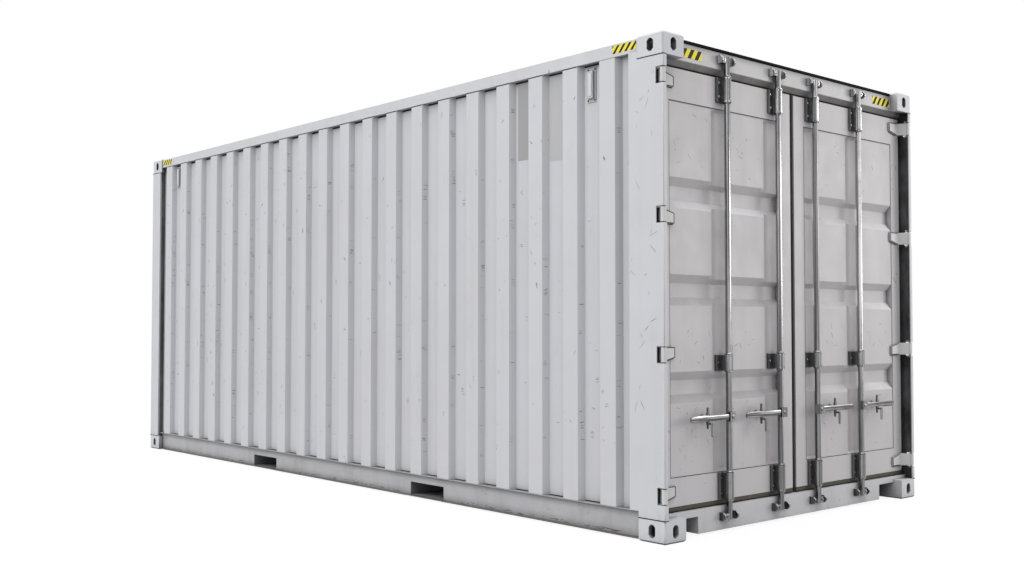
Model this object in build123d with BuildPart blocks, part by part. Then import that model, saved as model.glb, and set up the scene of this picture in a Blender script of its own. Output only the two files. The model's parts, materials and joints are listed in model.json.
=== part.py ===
from build123d import *
import os

os.makedirs("parts", exist_ok=True)

# A twenty-foot dry freight container with corrugated walls and two swinging door leaves.
# Millimetres. X runs along the length with the doors at +X, the left side is at -Y, Z is up,
# and the origin is at the middle of the underside.

# Overall box
length = 6058
width = 2438
height = 2591
end_x = length / 2
side_y = width / 2

# Corner fittings
fitting_length = 178
fitting_width = 162
fitting_height = 118
fitting_wall = 26
fitting_bevel = 9
aperture_width = 44
aperture_height = 68
aperture_bevel = 14
lock_hole_length = 124
lock_hole_width = 63.5
lock_hole_bevel = 20
fitting_x = end_x - fitting_length
fitting_y = side_y - fitting_width
fitting_top_z = height - fitting_height

# Side rails and front end frame
rail_inset = 8
rail_y = side_y - rail_inset
bottom_rail_low = 7
bottom_rail_height = 143
bottom_rail_web_inset = 29
bottom_rail_plate = 5
bottom_rail_flange = 39
bottom_rail_top = bottom_rail_low + bottom_rail_height
top_rail_inset = 9
top_rail_height = 69
top_rail_depth = 60
top_rail_wall = 4
top_rail_top = height - top_rail_inset
top_rail_low = top_rail_top - top_rail_height
front_rail_depth = 62
front_rail_wall = 5
front_post_face = 153
front_post_depth = 100
front_post_wall = 6

# Door end frame
door_post_face = 239
door_post_plate = 8
door_post_bend = 6
door_post_lip = 27
door_post_channel = 105
door_post_channel_depth = 54
door_post_channel_wall = 12
header_inset = 59
header_depth = 100
header_height = 137
header_top_inset = 6
header_bevel_width = 24
header_bevel_height = 30
header_wall = 5
sill_low = 10
sill_height = 127
sill_notch_width = 168
sill_notch_height = 90
header_face_x = end_x - header_inset
header_back_x = header_face_x - header_depth
header_top = height - header_top_inset
header_low = header_top - header_height
sill_top = sill_low + sill_height
post_channel_x = end_x - door_post_face + door_post_channel
post_plate_y = side_y - door_post_plate

# Corrugated sheets
sheet = 2
wall_face_inset = 10
wall_pitch = 281
wall_outer_flat = 113
wall_slope = 28
wall_depth = 32
wall_end_flat = 77
front_wall_inset = 10
front_wall_pitch = 250
front_wall_outer_flat = 110
front_wall_slope = 18
front_wall_depth = 45
roof_pitch = 209
roof_outer_flat = 91
roof_slope = 13.5
roof_depth = 20

# Floor and base
floor_thickness = 28
cross_member_low = 20
cross_member_width = 45
cross_member_plate = 5
cross_member_pitch = 290
pocket_spacing = 2050
pocket_width = 340
pocket_height = 80
pocket_plate = 5

# Ventilators
vent_width = 64
vent_height = 190
vent_plate = 4
vent_hood_width = 40
vent_hood_height = 150
vent_hood_depth = 14
vent_drop = 17

# Door leaves
door_inset = 74
door_thickness = 50
door_top_gap = 12
door_bottom_gap = 28
door_side_gap = 29
door_middle_gap = 18
stile_width = 100
door_top_rail = 172
door_bottom_rail = 150
door_rail_plate = 6
panel_recess = 2
groove_pitch = 506
groove_rise = 609
groove_height = 162
groove_slope = 44
groove_depth = 34
groove_count = 3
channel_width = 150
channel_slope = 16
channel_depth = 14
channel_shift = 14
seal_top = 7
seal_bottom = 23
seal_hinge = 12
seal_meeting = 13
seal_front = 10
seal_back = 10
door_face_x = end_x - door_inset
door_back_x = door_face_x - door_thickness
panel_face_x = door_face_x - panel_recess
door_low = sill_top + door_bottom_gap
door_top = header_low - door_top_gap
door_hinge_edge = side_y - door_side_gap
panel_low = door_low + door_bottom_rail
panel_top = door_top - door_top_rail
panel_outer_edge = door_hinge_edge - stile_width
panel_inner_edge = door_middle_gap + stile_width

# Hinges
hinge_count = 4
hinge_low_margin = 73
hinge_top_margin = 68
hinge_height = 76
hinge_gap = 5
pin_inset = 15
pin_radius = 6.5
pin_clearance = 0.5
pin_sides = 12
knuckle_radius = 15
blade_thickness = 12
blade_root = 40
blade_length = 126
blade_slant = 19
hinge_slot = 51
lug_height = 12
pin_x = end_x - pin_inset
pin_y = side_y - pin_inset

# Lock rods, guides and keepers
rod_radius = 16
rod_standoff = 37
rod_clearance = 0.8
rod_outer_y = 653
rod_inner_y = 184
rod_low_rise = 55
rod_top_drop = 40
cam_root = 13
cam_reach = 42
cam_tip = 8
cam_height = 34
guide_wall = 5
guide_plate = 6
guide_plate_reach = 54
guide_plate_lip = 10
guide_plate_gap = 2
upper_guide_height = 135
upper_guide_drop = 1
middle_guide_height = 85
middle_guide_rise = 689
lower_guide_height = 143
lower_guide_rise = 4
keeper_gap = 6
keeper_width = 12
keeper_height = 44
keeper_reach = 40
keeper_bevel = 14
rod_x = door_face_x + rod_standoff
rod_low = sill_low + rod_low_rise
rod_top = header_top - rod_top_drop
rod_places = {"outer": rod_outer_y, "inner": rod_inner_y}

# Handles, retainers and catches
handle_rise = 445
hub_width = 48
hub_height = 54
hub_bridge = 6
hub_plate = 4
handle_length = 345
handle_height = 30
handle_thickness = 7
handle_gap = 1
handle_end = 14
handle_bevel = 6
grip_length = 140
grip_height = 38
grip_thickness = 12
grip_bevel = 9
handle_pin_radius = 6
rivet_radius = 8
rivet_height = 2
retainer_offset = 181
retainer_width = 28
retainer_plate = 6
retainer_shelf = 14
retainer_drop = 70
retainer_gap = 5
prong_width = 18
prong_height = 42
prong_length = 45
prong_gap = 6
catch_thickness = 5
catch_gap = 1
catch_width = 22
catch_tip = 9
catch_length = 66
catch_pin_radius = 5
catch_eye = 12
catch_bevel = 6
handle_z = door_low + handle_rise
hub_front_x = rod_x + rod_radius
handle_back_x = hub_front_x + handle_gap
handle_front_x = handle_back_x + handle_thickness
hub_plate_x = handle_front_x + handle_gap
shelf_top = handle_z - grip_height / 2 - retainer_gap
catch_z = shelf_top - retainer_shelf / 2
catch_back_x = handle_front_x + retainer_gap
shelf_front_x = catch_back_x - catch_gap

# Places that several pieces share
wall_y = side_y - wall_face_inset
wall_valley_y = wall_y - wall_depth
wall_start_x = -fitting_x
wall_end_x = end_x - door_post_face
wall_last_edge = wall_end_x - wall_end_flat - wall_slope
wall_count = int((wall_last_edge - wall_outer_flat - wall_slope - wall_start_x) // wall_pitch) + 1
wall_first_edge = wall_last_edge - wall_outer_flat - wall_pitch * (wall_count - 1)
floor_top = sill_top
floor_low = floor_top - floor_thickness
web_y = rail_y - bottom_rail_web_inset
web_inner_y = web_y - bottom_rail_plate
flange_inner_y = rail_y - bottom_rail_flange
front_rail_x = -end_x + rail_inset + front_rail_depth
pocket_low = bottom_rail_low + bottom_rail_plate
pocket_top = pocket_low + pocket_height
hinge_low_z = door_low + hinge_low_margin
hinge_spacing = (door_top - hinge_top_margin - hinge_low_z) / (hinge_count - 1)
hinge_heights = [hinge_low_z + hinge_spacing * n for n in range(hinge_count)]
hinge_reach = hinge_height / 2 + hinge_gap
guide_inner = rod_radius + rod_clearance
sides = {"left": -1, "right": 1}


def slab(x, y, z, mode=Mode.ADD):
    """Add or cut a box that reaches between two values along each axis."""
    middle = ((x[0] + x[1]) / 2, (y[0] + y[1]) / 2, (z[0] + z[1]) / 2)
    with Locations(middle):
        Box(abs(x[1] - x[0]), abs(y[1] - y[0]), abs(z[1] - z[0]), mode=mode)


def post_along_z(radius, x, y, z):
    """Add an upright cylinder between two heights."""
    with Locations((x, y, (z[0] + z[1]) / 2)):
        Cylinder(radius, z[1] - z[0])


def pin_along_x(radius, x, y, z):
    """Add a small pin with flats that lies along the length between two places."""
    with BuildSketch(Plane.YZ.offset(x[0])) as section:
        with Locations((y, z)):
            RegularPolygon(radius, pin_sides)
    extrude(section.sketch, amount=x[1] - x[0])


def pin_hole(radius):
    """Cut a hole with flats that clears a pin of this radius."""
    RegularPolygon(radius + pin_clearance, pin_sides, major_radius=False, mode=Mode.SUBTRACT)


def bevelled_hole(across, up, bevel):
    """Draw a long hole with bevelled corners."""
    with BuildSketch(mode=Mode.PRIVATE) as hole:
        Rectangle(across, up)
        chamfer(hole.vertices(), length=bevel)
    add(hole.sketch)


def save(piece, label):
    """Name a finished piece and write it out."""
    piece.part.label = label
    export_step(piece.part, f"parts/{label}.step")


def wave_points(start, stop, first, count, pitch, flat, slope, low, high):
    """Corners of a trapezoidal wave: flats at high, with low between them and at both ends."""
    points = [(start, low)]
    for n in range(count):
        edge = first + pitch * n
        points.append((edge - slope, low))
        points.append((edge, high))
        points.append((edge + flat, high))
        points.append((edge + flat + slope, low))
    points.append((stop, low))
    return points


def centred_wave(start, stop, pitch, flat, slope, low, high):
    """As many waves as fit between two places, with equal margins at the ends."""
    count = int((stop - start - flat - 2 * slope) // pitch) + 1
    first = (start + stop - pitch * (count - 1) - flat) / 2
    return wave_points(start, stop, first, count, pitch, flat, slope, low, high)


def sheet_outline(points, step):
    """Close a wave into the outline of a thin sheet by stepping every corner sideways."""
    return points + [(u, v + step) for u, v in reversed(points)]


# Corner fittings
def corner_fittings(label, low, outward):
    """Four hollow castings at one level, each with a hole in its end, its side and its outer face."""
    top = low + fitting_height
    outer_z = top if outward > 0 else low
    with BuildPart() as fittings:
        for x_side in (-1, 1):
            for y_side in (-1, 1):
                slab((x_side * fitting_x, x_side * end_x), (y_side * fitting_y, y_side * side_y), (low, top))
        rim = fittings.edges().filter_by(lambda edge: abs(edge.center().Z - outer_z) < 1)
        corners = fittings.edges().filter_by(Axis.Z).filter_by(
            lambda edge: abs(edge.center().X) > end_x - 1 and abs(edge.center().Y) > side_y - 1
        )
        chamfer(rim + corners, length=fitting_bevel)
        for x_side in (-1, 1):
            for y_side in (-1, 1):
                corner_x = x_side * end_x
                corner_y = y_side * side_y
                inner_x = x_side * fitting_x
                inner_y = y_side * fitting_y
                middle_x = (inner_x + corner_x) / 2
                middle_y = (inner_y + corner_y) / 2
                middle_z = (low + top) / 2
                slab(
                    (inner_x + x_side * fitting_wall, corner_x - x_side * fitting_wall),
                    (inner_y + y_side * fitting_wall, corner_y - y_side * fitting_wall),
                    (low + fitting_wall, top - fitting_wall),
                    Mode.SUBTRACT,
                )
                with BuildSketch(Plane.YZ.offset(corner_x)):
                    with Locations((middle_y, middle_z)):
                        bevelled_hole(aperture_width, aperture_height, aperture_bevel)
                extrude(amount=-x_side * fitting_wall * 1.5, mode=Mode.SUBTRACT)
                with BuildSketch(Plane.XZ.offset(-corner_y)):
                    with Locations((middle_x, middle_z)):
                        bevelled_hole(aperture_width, aperture_height, aperture_bevel)
                extrude(amount=y_side * fitting_wall * 1.5, mode=Mode.SUBTRACT)
                with BuildSketch(Plane.XY.offset(outer_z)):
                    with Locations((middle_x, middle_y)):
                        bevelled_hole(lock_hole_length, lock_hole_width, lock_hole_bevel)
                extrude(amount=-outward * fitting_wall * 1.5, mode=Mode.SUBTRACT)
    save(fittings, label)


corner_fittings("corner_fittings_bottom", 0, -1)
corner_fittings("corner_fittings_top", fitting_top_z, 1)


# Door corner posts
def door_post(name, side):
    """A folded outer plate with a lip round the corner, backed by an inner channel and cut for the hinges."""
    back_x = end_x - door_post_face
    channel_y = side_y - door_post_channel_depth
    lip_y = side_y - door_post_lip
    hollow_y = (post_plate_y + channel_y + door_post_channel_wall) / 2
    outline = (
        (back_x, side * side_y),
        (end_x, side * side_y),
        (end_x, side * lip_y),
        (end_x - door_post_plate, side * lip_y),
        (end_x - door_post_plate, side * post_plate_y),
        (post_channel_x, side * post_plate_y),
        (post_channel_x, side * channel_y),
        (back_x, side * channel_y),
    )
    with BuildPart() as post:
        with BuildSketch(Plane.XY.offset(fitting_height)) as section:
            with BuildLine():
                Polyline(*outline, close=True)
            make_face()
            bend = section.vertices().group_by(Axis.X)[-1].sort_by(Axis.Y)[0 if side < 0 else -1]
            fillet(bend, radius=door_post_bend)
            with Locations(((back_x + post_channel_x) / 2, side * hollow_y)):
                Rectangle(
                    door_post_channel - 2 * door_post_channel_wall,
                    post_plate_y - channel_y - door_post_channel_wall,
                    mode=Mode.SUBTRACT,
                )
        extrude(amount=top_rail_low - fitting_height)
        across = (0, side * width)
        slab((fitting_x, length), across, (fitting_top_z, height), Mode.SUBTRACT)
        slab((0, fitting_x), across, (0, bottom_rail_top), Mode.SUBTRACT)
        for z in hinge_heights:
            slab(
                (end_x - hinge_slot, length),
                (side * lip_y, side * width),
                (z - hinge_reach, z + hinge_reach),
                Mode.SUBTRACT,
            )
    save(post, f"door_post_{name}")


for name, side in sides.items():
    door_post(name, side)


# Hinge pins, each held between two lugs inside the corner of the post
with BuildPart() as hinge_pins:
    for side in sides.values():
        for z in hinge_heights:
            low = z - hinge_reach - lug_height
            top = z + hinge_reach + lug_height
            for bottom in (low, top - lug_height):
                slab(
                    (pin_x - knuckle_radius, end_x - door_post_plate),
                    (side * (pin_y - knuckle_radius), side * (side_y - door_post_plate)),
                    (bottom, bottom + lug_height),
                )
            with BuildSketch(Plane.XY.offset(low)):
                with Locations((pin_x, side * pin_y)):
                    RegularPolygon(pin_radius, pin_sides)
            extrude(amount=top - low)
save(hinge_pins, "hinge_pins")


# Front corner posts, each a box with a flange for the side wall
with BuildPart() as front_posts:
    for side in sides.values():
        flange_length = fitting_length - front_post_face
        flange_y = wall_valley_y - front_post_wall / 2
        with BuildSketch(Plane.XY.offset(fitting_height)):
            with Locations((-end_x + front_post_face / 2, side * (side_y - front_post_depth / 2))):
                Rectangle(front_post_face, front_post_depth)
                Rectangle(
                    front_post_face - 2 * front_post_wall,
                    front_post_depth - 2 * front_post_wall,
                    mode=Mode.SUBTRACT,
                )
            with Locations((-fitting_x - flange_length / 2, side * flange_y)):
                Rectangle(flange_length, front_post_wall)
        extrude(amount=fitting_top_z - fitting_height)
save(front_posts, "front_posts")


# Top side rails
with BuildPart() as top_side_rails:
    for side in sides.values():
        with BuildSketch(Plane.YZ.offset(-fitting_x)):
            with Locations((side * (rail_y - top_rail_depth / 2), (top_rail_low + top_rail_top) / 2)):
                Rectangle(top_rail_depth, top_rail_height)
                Rectangle(
                    top_rail_depth - 2 * top_rail_wall,
                    top_rail_height - 2 * top_rail_wall,
                    mode=Mode.SUBTRACT,
                )
        extrude(amount=2 * fitting_x)
save(top_side_rails, "top_side_rails")


# Bottom side rails
def bottom_side_rail(name, side):
    """A channel that is open to the outside, with its web cut through at the fork pockets."""
    run = (-fitting_x, fitting_x)
    flange = (side * rail_y, side * flange_inner_y)
    with BuildPart() as rail:
        slab(run, flange, (bottom_rail_low, bottom_rail_low + bottom_rail_plate))
        slab(run, flange, (bottom_rail_top - bottom_rail_plate, bottom_rail_top))
        slab(run, (side * web_y, side * web_inner_y), (bottom_rail_low, bottom_rail_top))
        for middle in (-pocket_spacing / 2, pocket_spacing / 2):
            slab(
                (middle - pocket_width / 2, middle + pocket_width / 2),
                (0, side * width),
                (pocket_low, pocket_top),
                Mode.SUBTRACT,
            )
    save(rail, f"bottom_side_rail_{name}")


for name, side in sides.items():
    bottom_side_rail(name, side)


# Door header, a box with its lower front edge bevelled, its lower part reaching on to the posts
with BuildPart() as door_header:
    header_outline = (
        (header_back_x, header_low),
        (header_face_x - header_bevel_width, header_low),
        (header_face_x, header_low + header_bevel_height),
        (header_face_x, header_top),
        (header_back_x, header_top),
    )
    with BuildSketch(Plane.XZ.offset(-post_plate_y)):
        with BuildLine():
            Polyline(*header_outline, close=True)
        make_face()
        offset(amount=-header_wall, mode=Mode.SUBTRACT)
    extrude(amount=2 * post_plate_y)
    for side in sides.values():
        beyond = (side * fitting_y, side * width)
        slab((0, length), beyond, (fitting_top_z, height), Mode.SUBTRACT)
        slab((0, post_channel_x), beyond, (0, height), Mode.SUBTRACT)
save(door_header, "door_header")


# Door sill, a box with a closed notch beside each corner fitting, its upper part reaching on to the posts
with BuildPart() as door_sill:
    with BuildSketch(Plane.XZ.offset(-post_plate_y)):
        with Locations(((header_back_x + header_face_x) / 2, (sill_low + sill_top) / 2)):
            Rectangle(header_depth, sill_height)
            Rectangle(header_depth - 2 * header_wall, sill_height - 2 * header_wall, mode=Mode.SUBTRACT)
    extrude(amount=2 * post_plate_y)
    for side in sides.values():
        beyond = (side * fitting_y, side * width)
        slab((0, length), beyond, (0, fitting_height), Mode.SUBTRACT)
        slab((0, post_channel_x), beyond, (0, height), Mode.SUBTRACT)
        notch_y = fitting_y - sill_notch_width
        notch_top = sill_low + sill_notch_height
        inside = (header_back_x + header_wall, header_face_x)
        slab(inside, (side * notch_y, side * (notch_y - header_wall)), (sill_low, sill_top))
        slab(inside, (side * fitting_y, side * notch_y), (notch_top, notch_top + header_wall))
        slab(inside, (side * fitting_y, side * notch_y), (sill_low, notch_top), Mode.SUBTRACT)
save(door_sill, "door_sill")


# Front end rails
with BuildPart() as front_rails:
    for low, rise in ((bottom_rail_low, bottom_rail_height), (top_rail_low, top_rail_height)):
        with BuildSketch(Plane.XZ.offset(-fitting_y)):
            with Locations((front_rail_x - front_rail_depth / 2, low + rise / 2)):
                Rectangle(front_rail_depth, rise)
                Rectangle(front_rail_depth - 2 * front_rail_wall, rise - 2 * front_rail_wall, mode=Mode.SUBTRACT)
        extrude(amount=2 * fitting_y)
save(front_rails, "front_rails")


# Corrugated side walls
def side_wall(name, side):
    """A folded sheet that stands between the side rails and runs from the front post to the door post."""
    face = wave_points(
        wall_start_x, wall_end_x, wall_first_edge, wall_count, wall_pitch, wall_outer_flat, wall_slope,
        side * wall_valley_y, side * wall_y,
    )
    with BuildPart() as wall:
        with BuildSketch(Plane.XY.offset(bottom_rail_top)):
            with BuildLine():
                Polyline(*sheet_outline(face, -side * sheet), close=True)
            make_face()
        extrude(amount=top_rail_low - bottom_rail_top)
    save(wall, f"side_wall_{name}")


for name, side in sides.items():
    side_wall(name, side)


# Corrugated front wall, notched for the top corner fittings
with BuildPart() as front_wall:
    half = side_y - front_post_depth
    face_x = -end_x + front_wall_inset
    face = centred_wave(
        -half, half, front_wall_pitch, front_wall_outer_flat, front_wall_slope,
        face_x + front_wall_depth, face_x,
    )
    with BuildSketch(Plane.XY.offset(bottom_rail_top)):
        with BuildLine():
            Polyline(*[(x, y) for y, x in sheet_outline(face, sheet)], close=True)
        make_face()
    extrude(amount=top_rail_low - bottom_rail_top)
    for side in sides.values():
        slab((-length, 0), (side * fitting_y, side * width), (fitting_top_z, height), Mode.SUBTRACT)
save(front_wall, "front_wall")


# Corrugated roof, notched for the top corner fittings
with BuildPart() as roof_panel:
    half = rail_y - top_rail_depth
    face = centred_wave(
        front_rail_x, header_back_x, roof_pitch, roof_outer_flat, roof_slope,
        top_rail_top - roof_depth, top_rail_top,
    )
    with BuildSketch(Plane.XZ.offset(-half)):
        with BuildLine():
            Polyline(*sheet_outline(face, -sheet), close=True)
        make_face()
    extrude(amount=2 * half)
    for side in sides.values():
        for end in (-1, 1):
            beyond = (end * fitting_x, end * length)
            slab(beyond, (side * fitting_y, side * width), (fitting_top_z, height), Mode.SUBTRACT)
save(roof_panel, "roof_panel")


# Plywood floor, notched for the corner fittings and posts
with BuildPart() as floor:
    slab((front_rail_x, header_back_x), (-flange_inner_y, flange_inner_y), (floor_low, floor_top))
    for side in sides.values():
        for end, post_depth in ((-1, front_post_depth), (1, door_post_channel_depth)):
            beyond = (end * fitting_x, end * length)
            slab(beyond, (side * fitting_y, side * width), (0, fitting_height), Mode.SUBTRACT)
            slab(beyond, (side * (side_y - post_depth), side * width), (0, floor_top), Mode.SUBTRACT)
save(floor, "floor")


# Cross members under the floor, left out where the fork pockets pass
with BuildPart() as cross_members:
    pocket_reach = pocket_width / 2 + pocket_plate + cross_member_width
    run = header_back_x - front_rail_x
    count = int((run - 2 * cross_member_width) // cross_member_pitch)
    across = (-web_inner_y, web_inner_y)
    for n in range(count):
        x = front_rail_x + (n + 1) * run / (count + 1)
        if abs(abs(x) - pocket_spacing / 2) > pocket_reach:
            near_x = x - cross_member_width / 2
            flange = (near_x, near_x + cross_member_width)
            slab((near_x, near_x + cross_member_plate), across, (cross_member_low, floor_low))
            slab(flange, across, (floor_low - cross_member_plate, floor_low))
            slab(flange, across, (cross_member_low, cross_member_low + cross_member_plate))
save(cross_members, "cross_members")


# Fork pockets, each a tunnel with roof, side and bottom plates
with BuildPart() as fork_pockets:
    for middle in (-pocket_spacing / 2, pocket_spacing / 2):
        across = (-web_inner_y, web_inner_y)
        inner = pocket_width / 2
        outer = inner + pocket_plate
        slab((middle - outer, middle + outer), across, (pocket_low, pocket_top + pocket_plate))
        slab((middle - inner, middle + inner), across, (pocket_low, pocket_top), Mode.SUBTRACT)
        between_flanges = (-flange_inner_y, flange_inner_y)
        slab((middle - outer, middle + outer), between_flanges, (bottom_rail_low, pocket_low))
save(fork_pockets, "fork_pockets")


# Ventilators in the second wall valley from each end
with BuildPart() as ventilators:
    valley = wall_first_edge + (wall_pitch + wall_outer_flat) / 2
    top = top_rail_low - vent_drop
    middle_z = top - vent_height / 2
    for side in sides.values():
        face_y = wall_valley_y + vent_plate
        hood_y = face_y + vent_hood_depth
        for x in (valley, valley + wall_pitch * (wall_count - 2)):
            for half, rise, near, far in (
                (vent_width / 2, vent_height / 2, wall_valley_y, face_y),
                (vent_hood_width / 2, vent_hood_height / 2, face_y, hood_y),
            ):
                slab((x - half, x + half), (side * near, side * far), (middle_z - rise, middle_z + rise))
save(ventilators, "ventilators")


# Cam keepers: a pair of bevelled lugs on the header and on the sill for each lock rod
with BuildPart() as cam_keepers:
    tip_x = header_face_x + keeper_reach
    for middle_z, up in ((rod_top - cam_height / 2, 1), (rod_low + cam_height / 2, -1)):
        lug = (
            (header_face_x, middle_z - keeper_height / 2),
            (header_face_x, middle_z + keeper_height / 2),
            (tip_x - keeper_bevel, middle_z + up * keeper_height / 2),
            (tip_x, middle_z + up * (keeper_height / 2 - keeper_bevel)),
            (tip_x, middle_z - up * (keeper_height / 2 - keeper_bevel)),
            (tip_x - keeper_bevel, middle_z - up * keeper_height / 2),
        )
        outline = lug if up > 0 else (lug[1], lug[0]) + lug[2:]
        for side in sides.values():
            for place in rod_places.values():
                for way in (-1, 1):
                    inner = side * place + way * (cam_reach + keeper_gap)
                    with BuildSketch(Plane.XZ.offset(-inner)):
                        with BuildLine():
                            Polyline(*outline, close=True)
                        make_face()
                    extrude(amount=-way * keeper_width)
save(cam_keepers, "cam_keepers")


# Door leaves
def door_frame(name, side):
    """The welded rectangle of two stiles and two rails, the rails open at the back."""
    edges = (side * door_hinge_edge, side * door_middle_gap)
    inner = (side * panel_outer_edge, side * panel_inner_edge)
    with BuildPart() as frame:
        slab((door_back_x, door_face_x), edges, (door_low, door_top))
        slab((door_back_x, door_face_x), inner, (panel_low, panel_top), Mode.SUBTRACT)
        for low, top in ((door_low, panel_low), (panel_top, door_top)):
            slab(
                (door_back_x, door_face_x - door_rail_plate),
                inner,
                (low + door_rail_plate, top - door_rail_plate),
                Mode.SUBTRACT,
            )
    save(frame, f"door_frame_{name}")


def door_panel(name, side):
    """A pressed sheet with three grooves across its whole width and an upright channel behind each lock rod."""
    panel_width = panel_outer_edge - panel_inner_edge
    panel_height = panel_top - panel_low
    panel_y = side * (panel_outer_edge + panel_inner_edge) / 2
    panel_z = (panel_top + panel_low) / 2
    back_x = panel_face_x - groove_depth - 2 * sheet
    groove_floor_x = panel_face_x - groove_depth
    with BuildPart() as panel:
        slab(
            (back_x, panel_face_x),
            (side * panel_outer_edge, side * panel_inner_edge),
            (panel_low, panel_top),
        )
        for n in range(groove_count):
            z = door_low + groove_rise + groove_pitch * n
            groove = (
                (panel_face_x, z - groove_height / 2),
                (groove_floor_x, z - groove_height / 2 + groove_slope),
                (groove_floor_x, z + groove_height / 2 - groove_slope),
                (panel_face_x, z + groove_height / 2),
            )
            with BuildSketch(Plane.XZ.offset(-panel_y)):
                with BuildLine():
                    Polyline(*groove, close=True)
                make_face()
            extrude(amount=panel_width / 2, both=True, mode=Mode.SUBTRACT)
        for place in rod_places.values():
            y = side * place - channel_shift
            for depth, slope in ((0, 0), (channel_depth, channel_slope)):
                with BuildSketch(Plane.YZ.offset(panel_face_x - depth)):
                    with Locations((y, panel_z)):
                        Rectangle(channel_width - 2 * slope, panel_height - 2 * slope)
            loft(mode=Mode.SUBTRACT)
        add(panel.part.moved(Location((-sheet, 0, 0))), mode=Mode.SUBTRACT)
    save(panel, f"door_panel_{name}")


def door_seal(name, side):
    """The rubber lip round the edge of a leaf."""
    run = (door_back_x + seal_back, door_face_x - seal_front)
    with BuildPart() as seal:
        slab(
            run,
            (side * (door_hinge_edge + seal_hinge), side * (door_middle_gap - seal_meeting)),
            (door_low - seal_bottom, door_top + seal_top),
        )
        slab(run, (side * door_hinge_edge, side * door_middle_gap), (door_low, door_top), Mode.SUBTRACT)
    save(seal, f"door_seal_{name}")


def door_hinges(name, side):
    """Four forged straps, each with a knuckle on its pin and a blade with one slanted edge along the leaf."""
    root_x = door_face_x + blade_thickness
    root_y = side * (door_hinge_edge - blade_root)
    tip_y = side * (door_hinge_edge - blade_length)
    arm = (
        (pin_x, side * (pin_y - knuckle_radius)),
        (root_x, root_y),
        (door_face_x, root_y),
        (door_face_x, side * door_hinge_edge),
        (pin_x - knuckle_radius, side * pin_y),
        (pin_x, side * pin_y),
    )
    with BuildPart() as hinges:
        for n, z in enumerate(hinge_heights):
            low = z - hinge_height / 2
            top = z + hinge_height / 2
            upper_half = n >= hinge_count / 2
            slant_top = blade_slant if upper_half == (side < 0) else 0
            slant_low = blade_slant - slant_top
            blade = (
                (root_y, low),
                (root_y, top),
                (tip_y, top - slant_top),
                (tip_y, low + slant_low),
            )
            with BuildSketch(Plane.XY.offset(low)):
                with BuildLine():
                    Polyline(*arm, close=True)
                make_face()
                with Locations((pin_x, side * pin_y)):
                    RegularPolygon(knuckle_radius, pin_sides)
                    pin_hole(pin_radius)
            extrude(amount=hinge_height)
            with BuildSketch(Plane.YZ.offset(door_face_x)):
                with BuildLine():
                    Polyline(*blade, close=True)
                make_face()
            extrude(amount=blade_thickness)
    save(hinges, f"door_hinges_{name}")


def rod_guides(name, side):
    """Three bearings on each lock rod, each a strap round the rod with a bolting plate on one side of it."""
    upper_top = door_top - upper_guide_drop
    middle_low = door_low + middle_guide_rise
    lower_low = door_low + lower_guide_rise
    outer = guide_inner + guide_wall
    with BuildPart() as guides:
        for place in rod_places.values():
            y = side * place
            room = place - panel_inner_edge if side > 0 else panel_outer_edge - place
            panel_reach = min(guide_plate_reach, room - guide_plate_gap)
            for low, rise, seat_x, reach in (
                (upper_top - upper_guide_height, upper_guide_height, door_face_x, guide_plate_reach),
                (middle_low, middle_guide_height, panel_face_x - channel_depth, panel_reach),
                (lower_low, lower_guide_height, door_face_x, guide_plate_reach),
            ):
                depth = rod_x - seat_x
                with BuildSketch(Plane.XY.offset(low)):
                    with Locations((rod_x, y)):
                        RegularPolygon(outer, pin_sides)
                    with Locations((seat_x + depth / 2, y)):
                        Rectangle(depth, 2 * outer)
                    with Locations((rod_x, y)):
                        RegularPolygon(guide_inner, pin_sides, major_radius=False, mode=Mode.SUBTRACT)
                    with Locations((seat_x + (depth + guide_plate) / 2, y)):
                        Rectangle(depth - guide_plate, 2 * guide_inner, mode=Mode.SUBTRACT)
                    with Locations((seat_x + guide_plate / 2, y - (reach + outer) / 2)):
                        Rectangle(guide_plate, reach - outer)
                    with Locations((seat_x + guide_plate + guide_plate_lip / 2, y - reach + guide_plate / 2)):
                        Rectangle(guide_plate_lip, guide_plate)
                extrude(amount=rise)
    save(guides, f"rod_guides_{name}")


def handle_retainers(name, side):
    """A bracket under each handle with a shelf and the catch's pin, and a prong behind and above the handle."""
    with BuildPart() as retainers:
        for place in rod_places.values():
            y = side * (place + retainer_offset)
            across = (y - retainer_width / 2, y + retainer_width / 2)
            slab((panel_face_x, panel_face_x + retainer_plate), across, (shelf_top - retainer_drop, shelf_top))
            slab((panel_face_x, shelf_front_x), across, (shelf_top - retainer_shelf, shelf_top))
            pin_end = catch_back_x + catch_thickness + catch_gap
            pin_along_x(catch_pin_radius, (shelf_front_x, pin_end), y, catch_z)
            prong_low = handle_z + grip_height / 2 + prong_gap
            slab(
                (panel_face_x, panel_face_x + prong_length),
                (y - prong_width / 2, y + prong_width / 2),
                (prong_low, prong_low + prong_height),
            )
    save(retainers, f"handle_retainers_{name}")


for name, side in sides.items():
    door_frame(name, side)
    door_panel(name, side)
    door_seal(name, side)
    door_hinges(name, side)
    rod_guides(name, side)
    handle_retainers(name, side)


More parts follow.
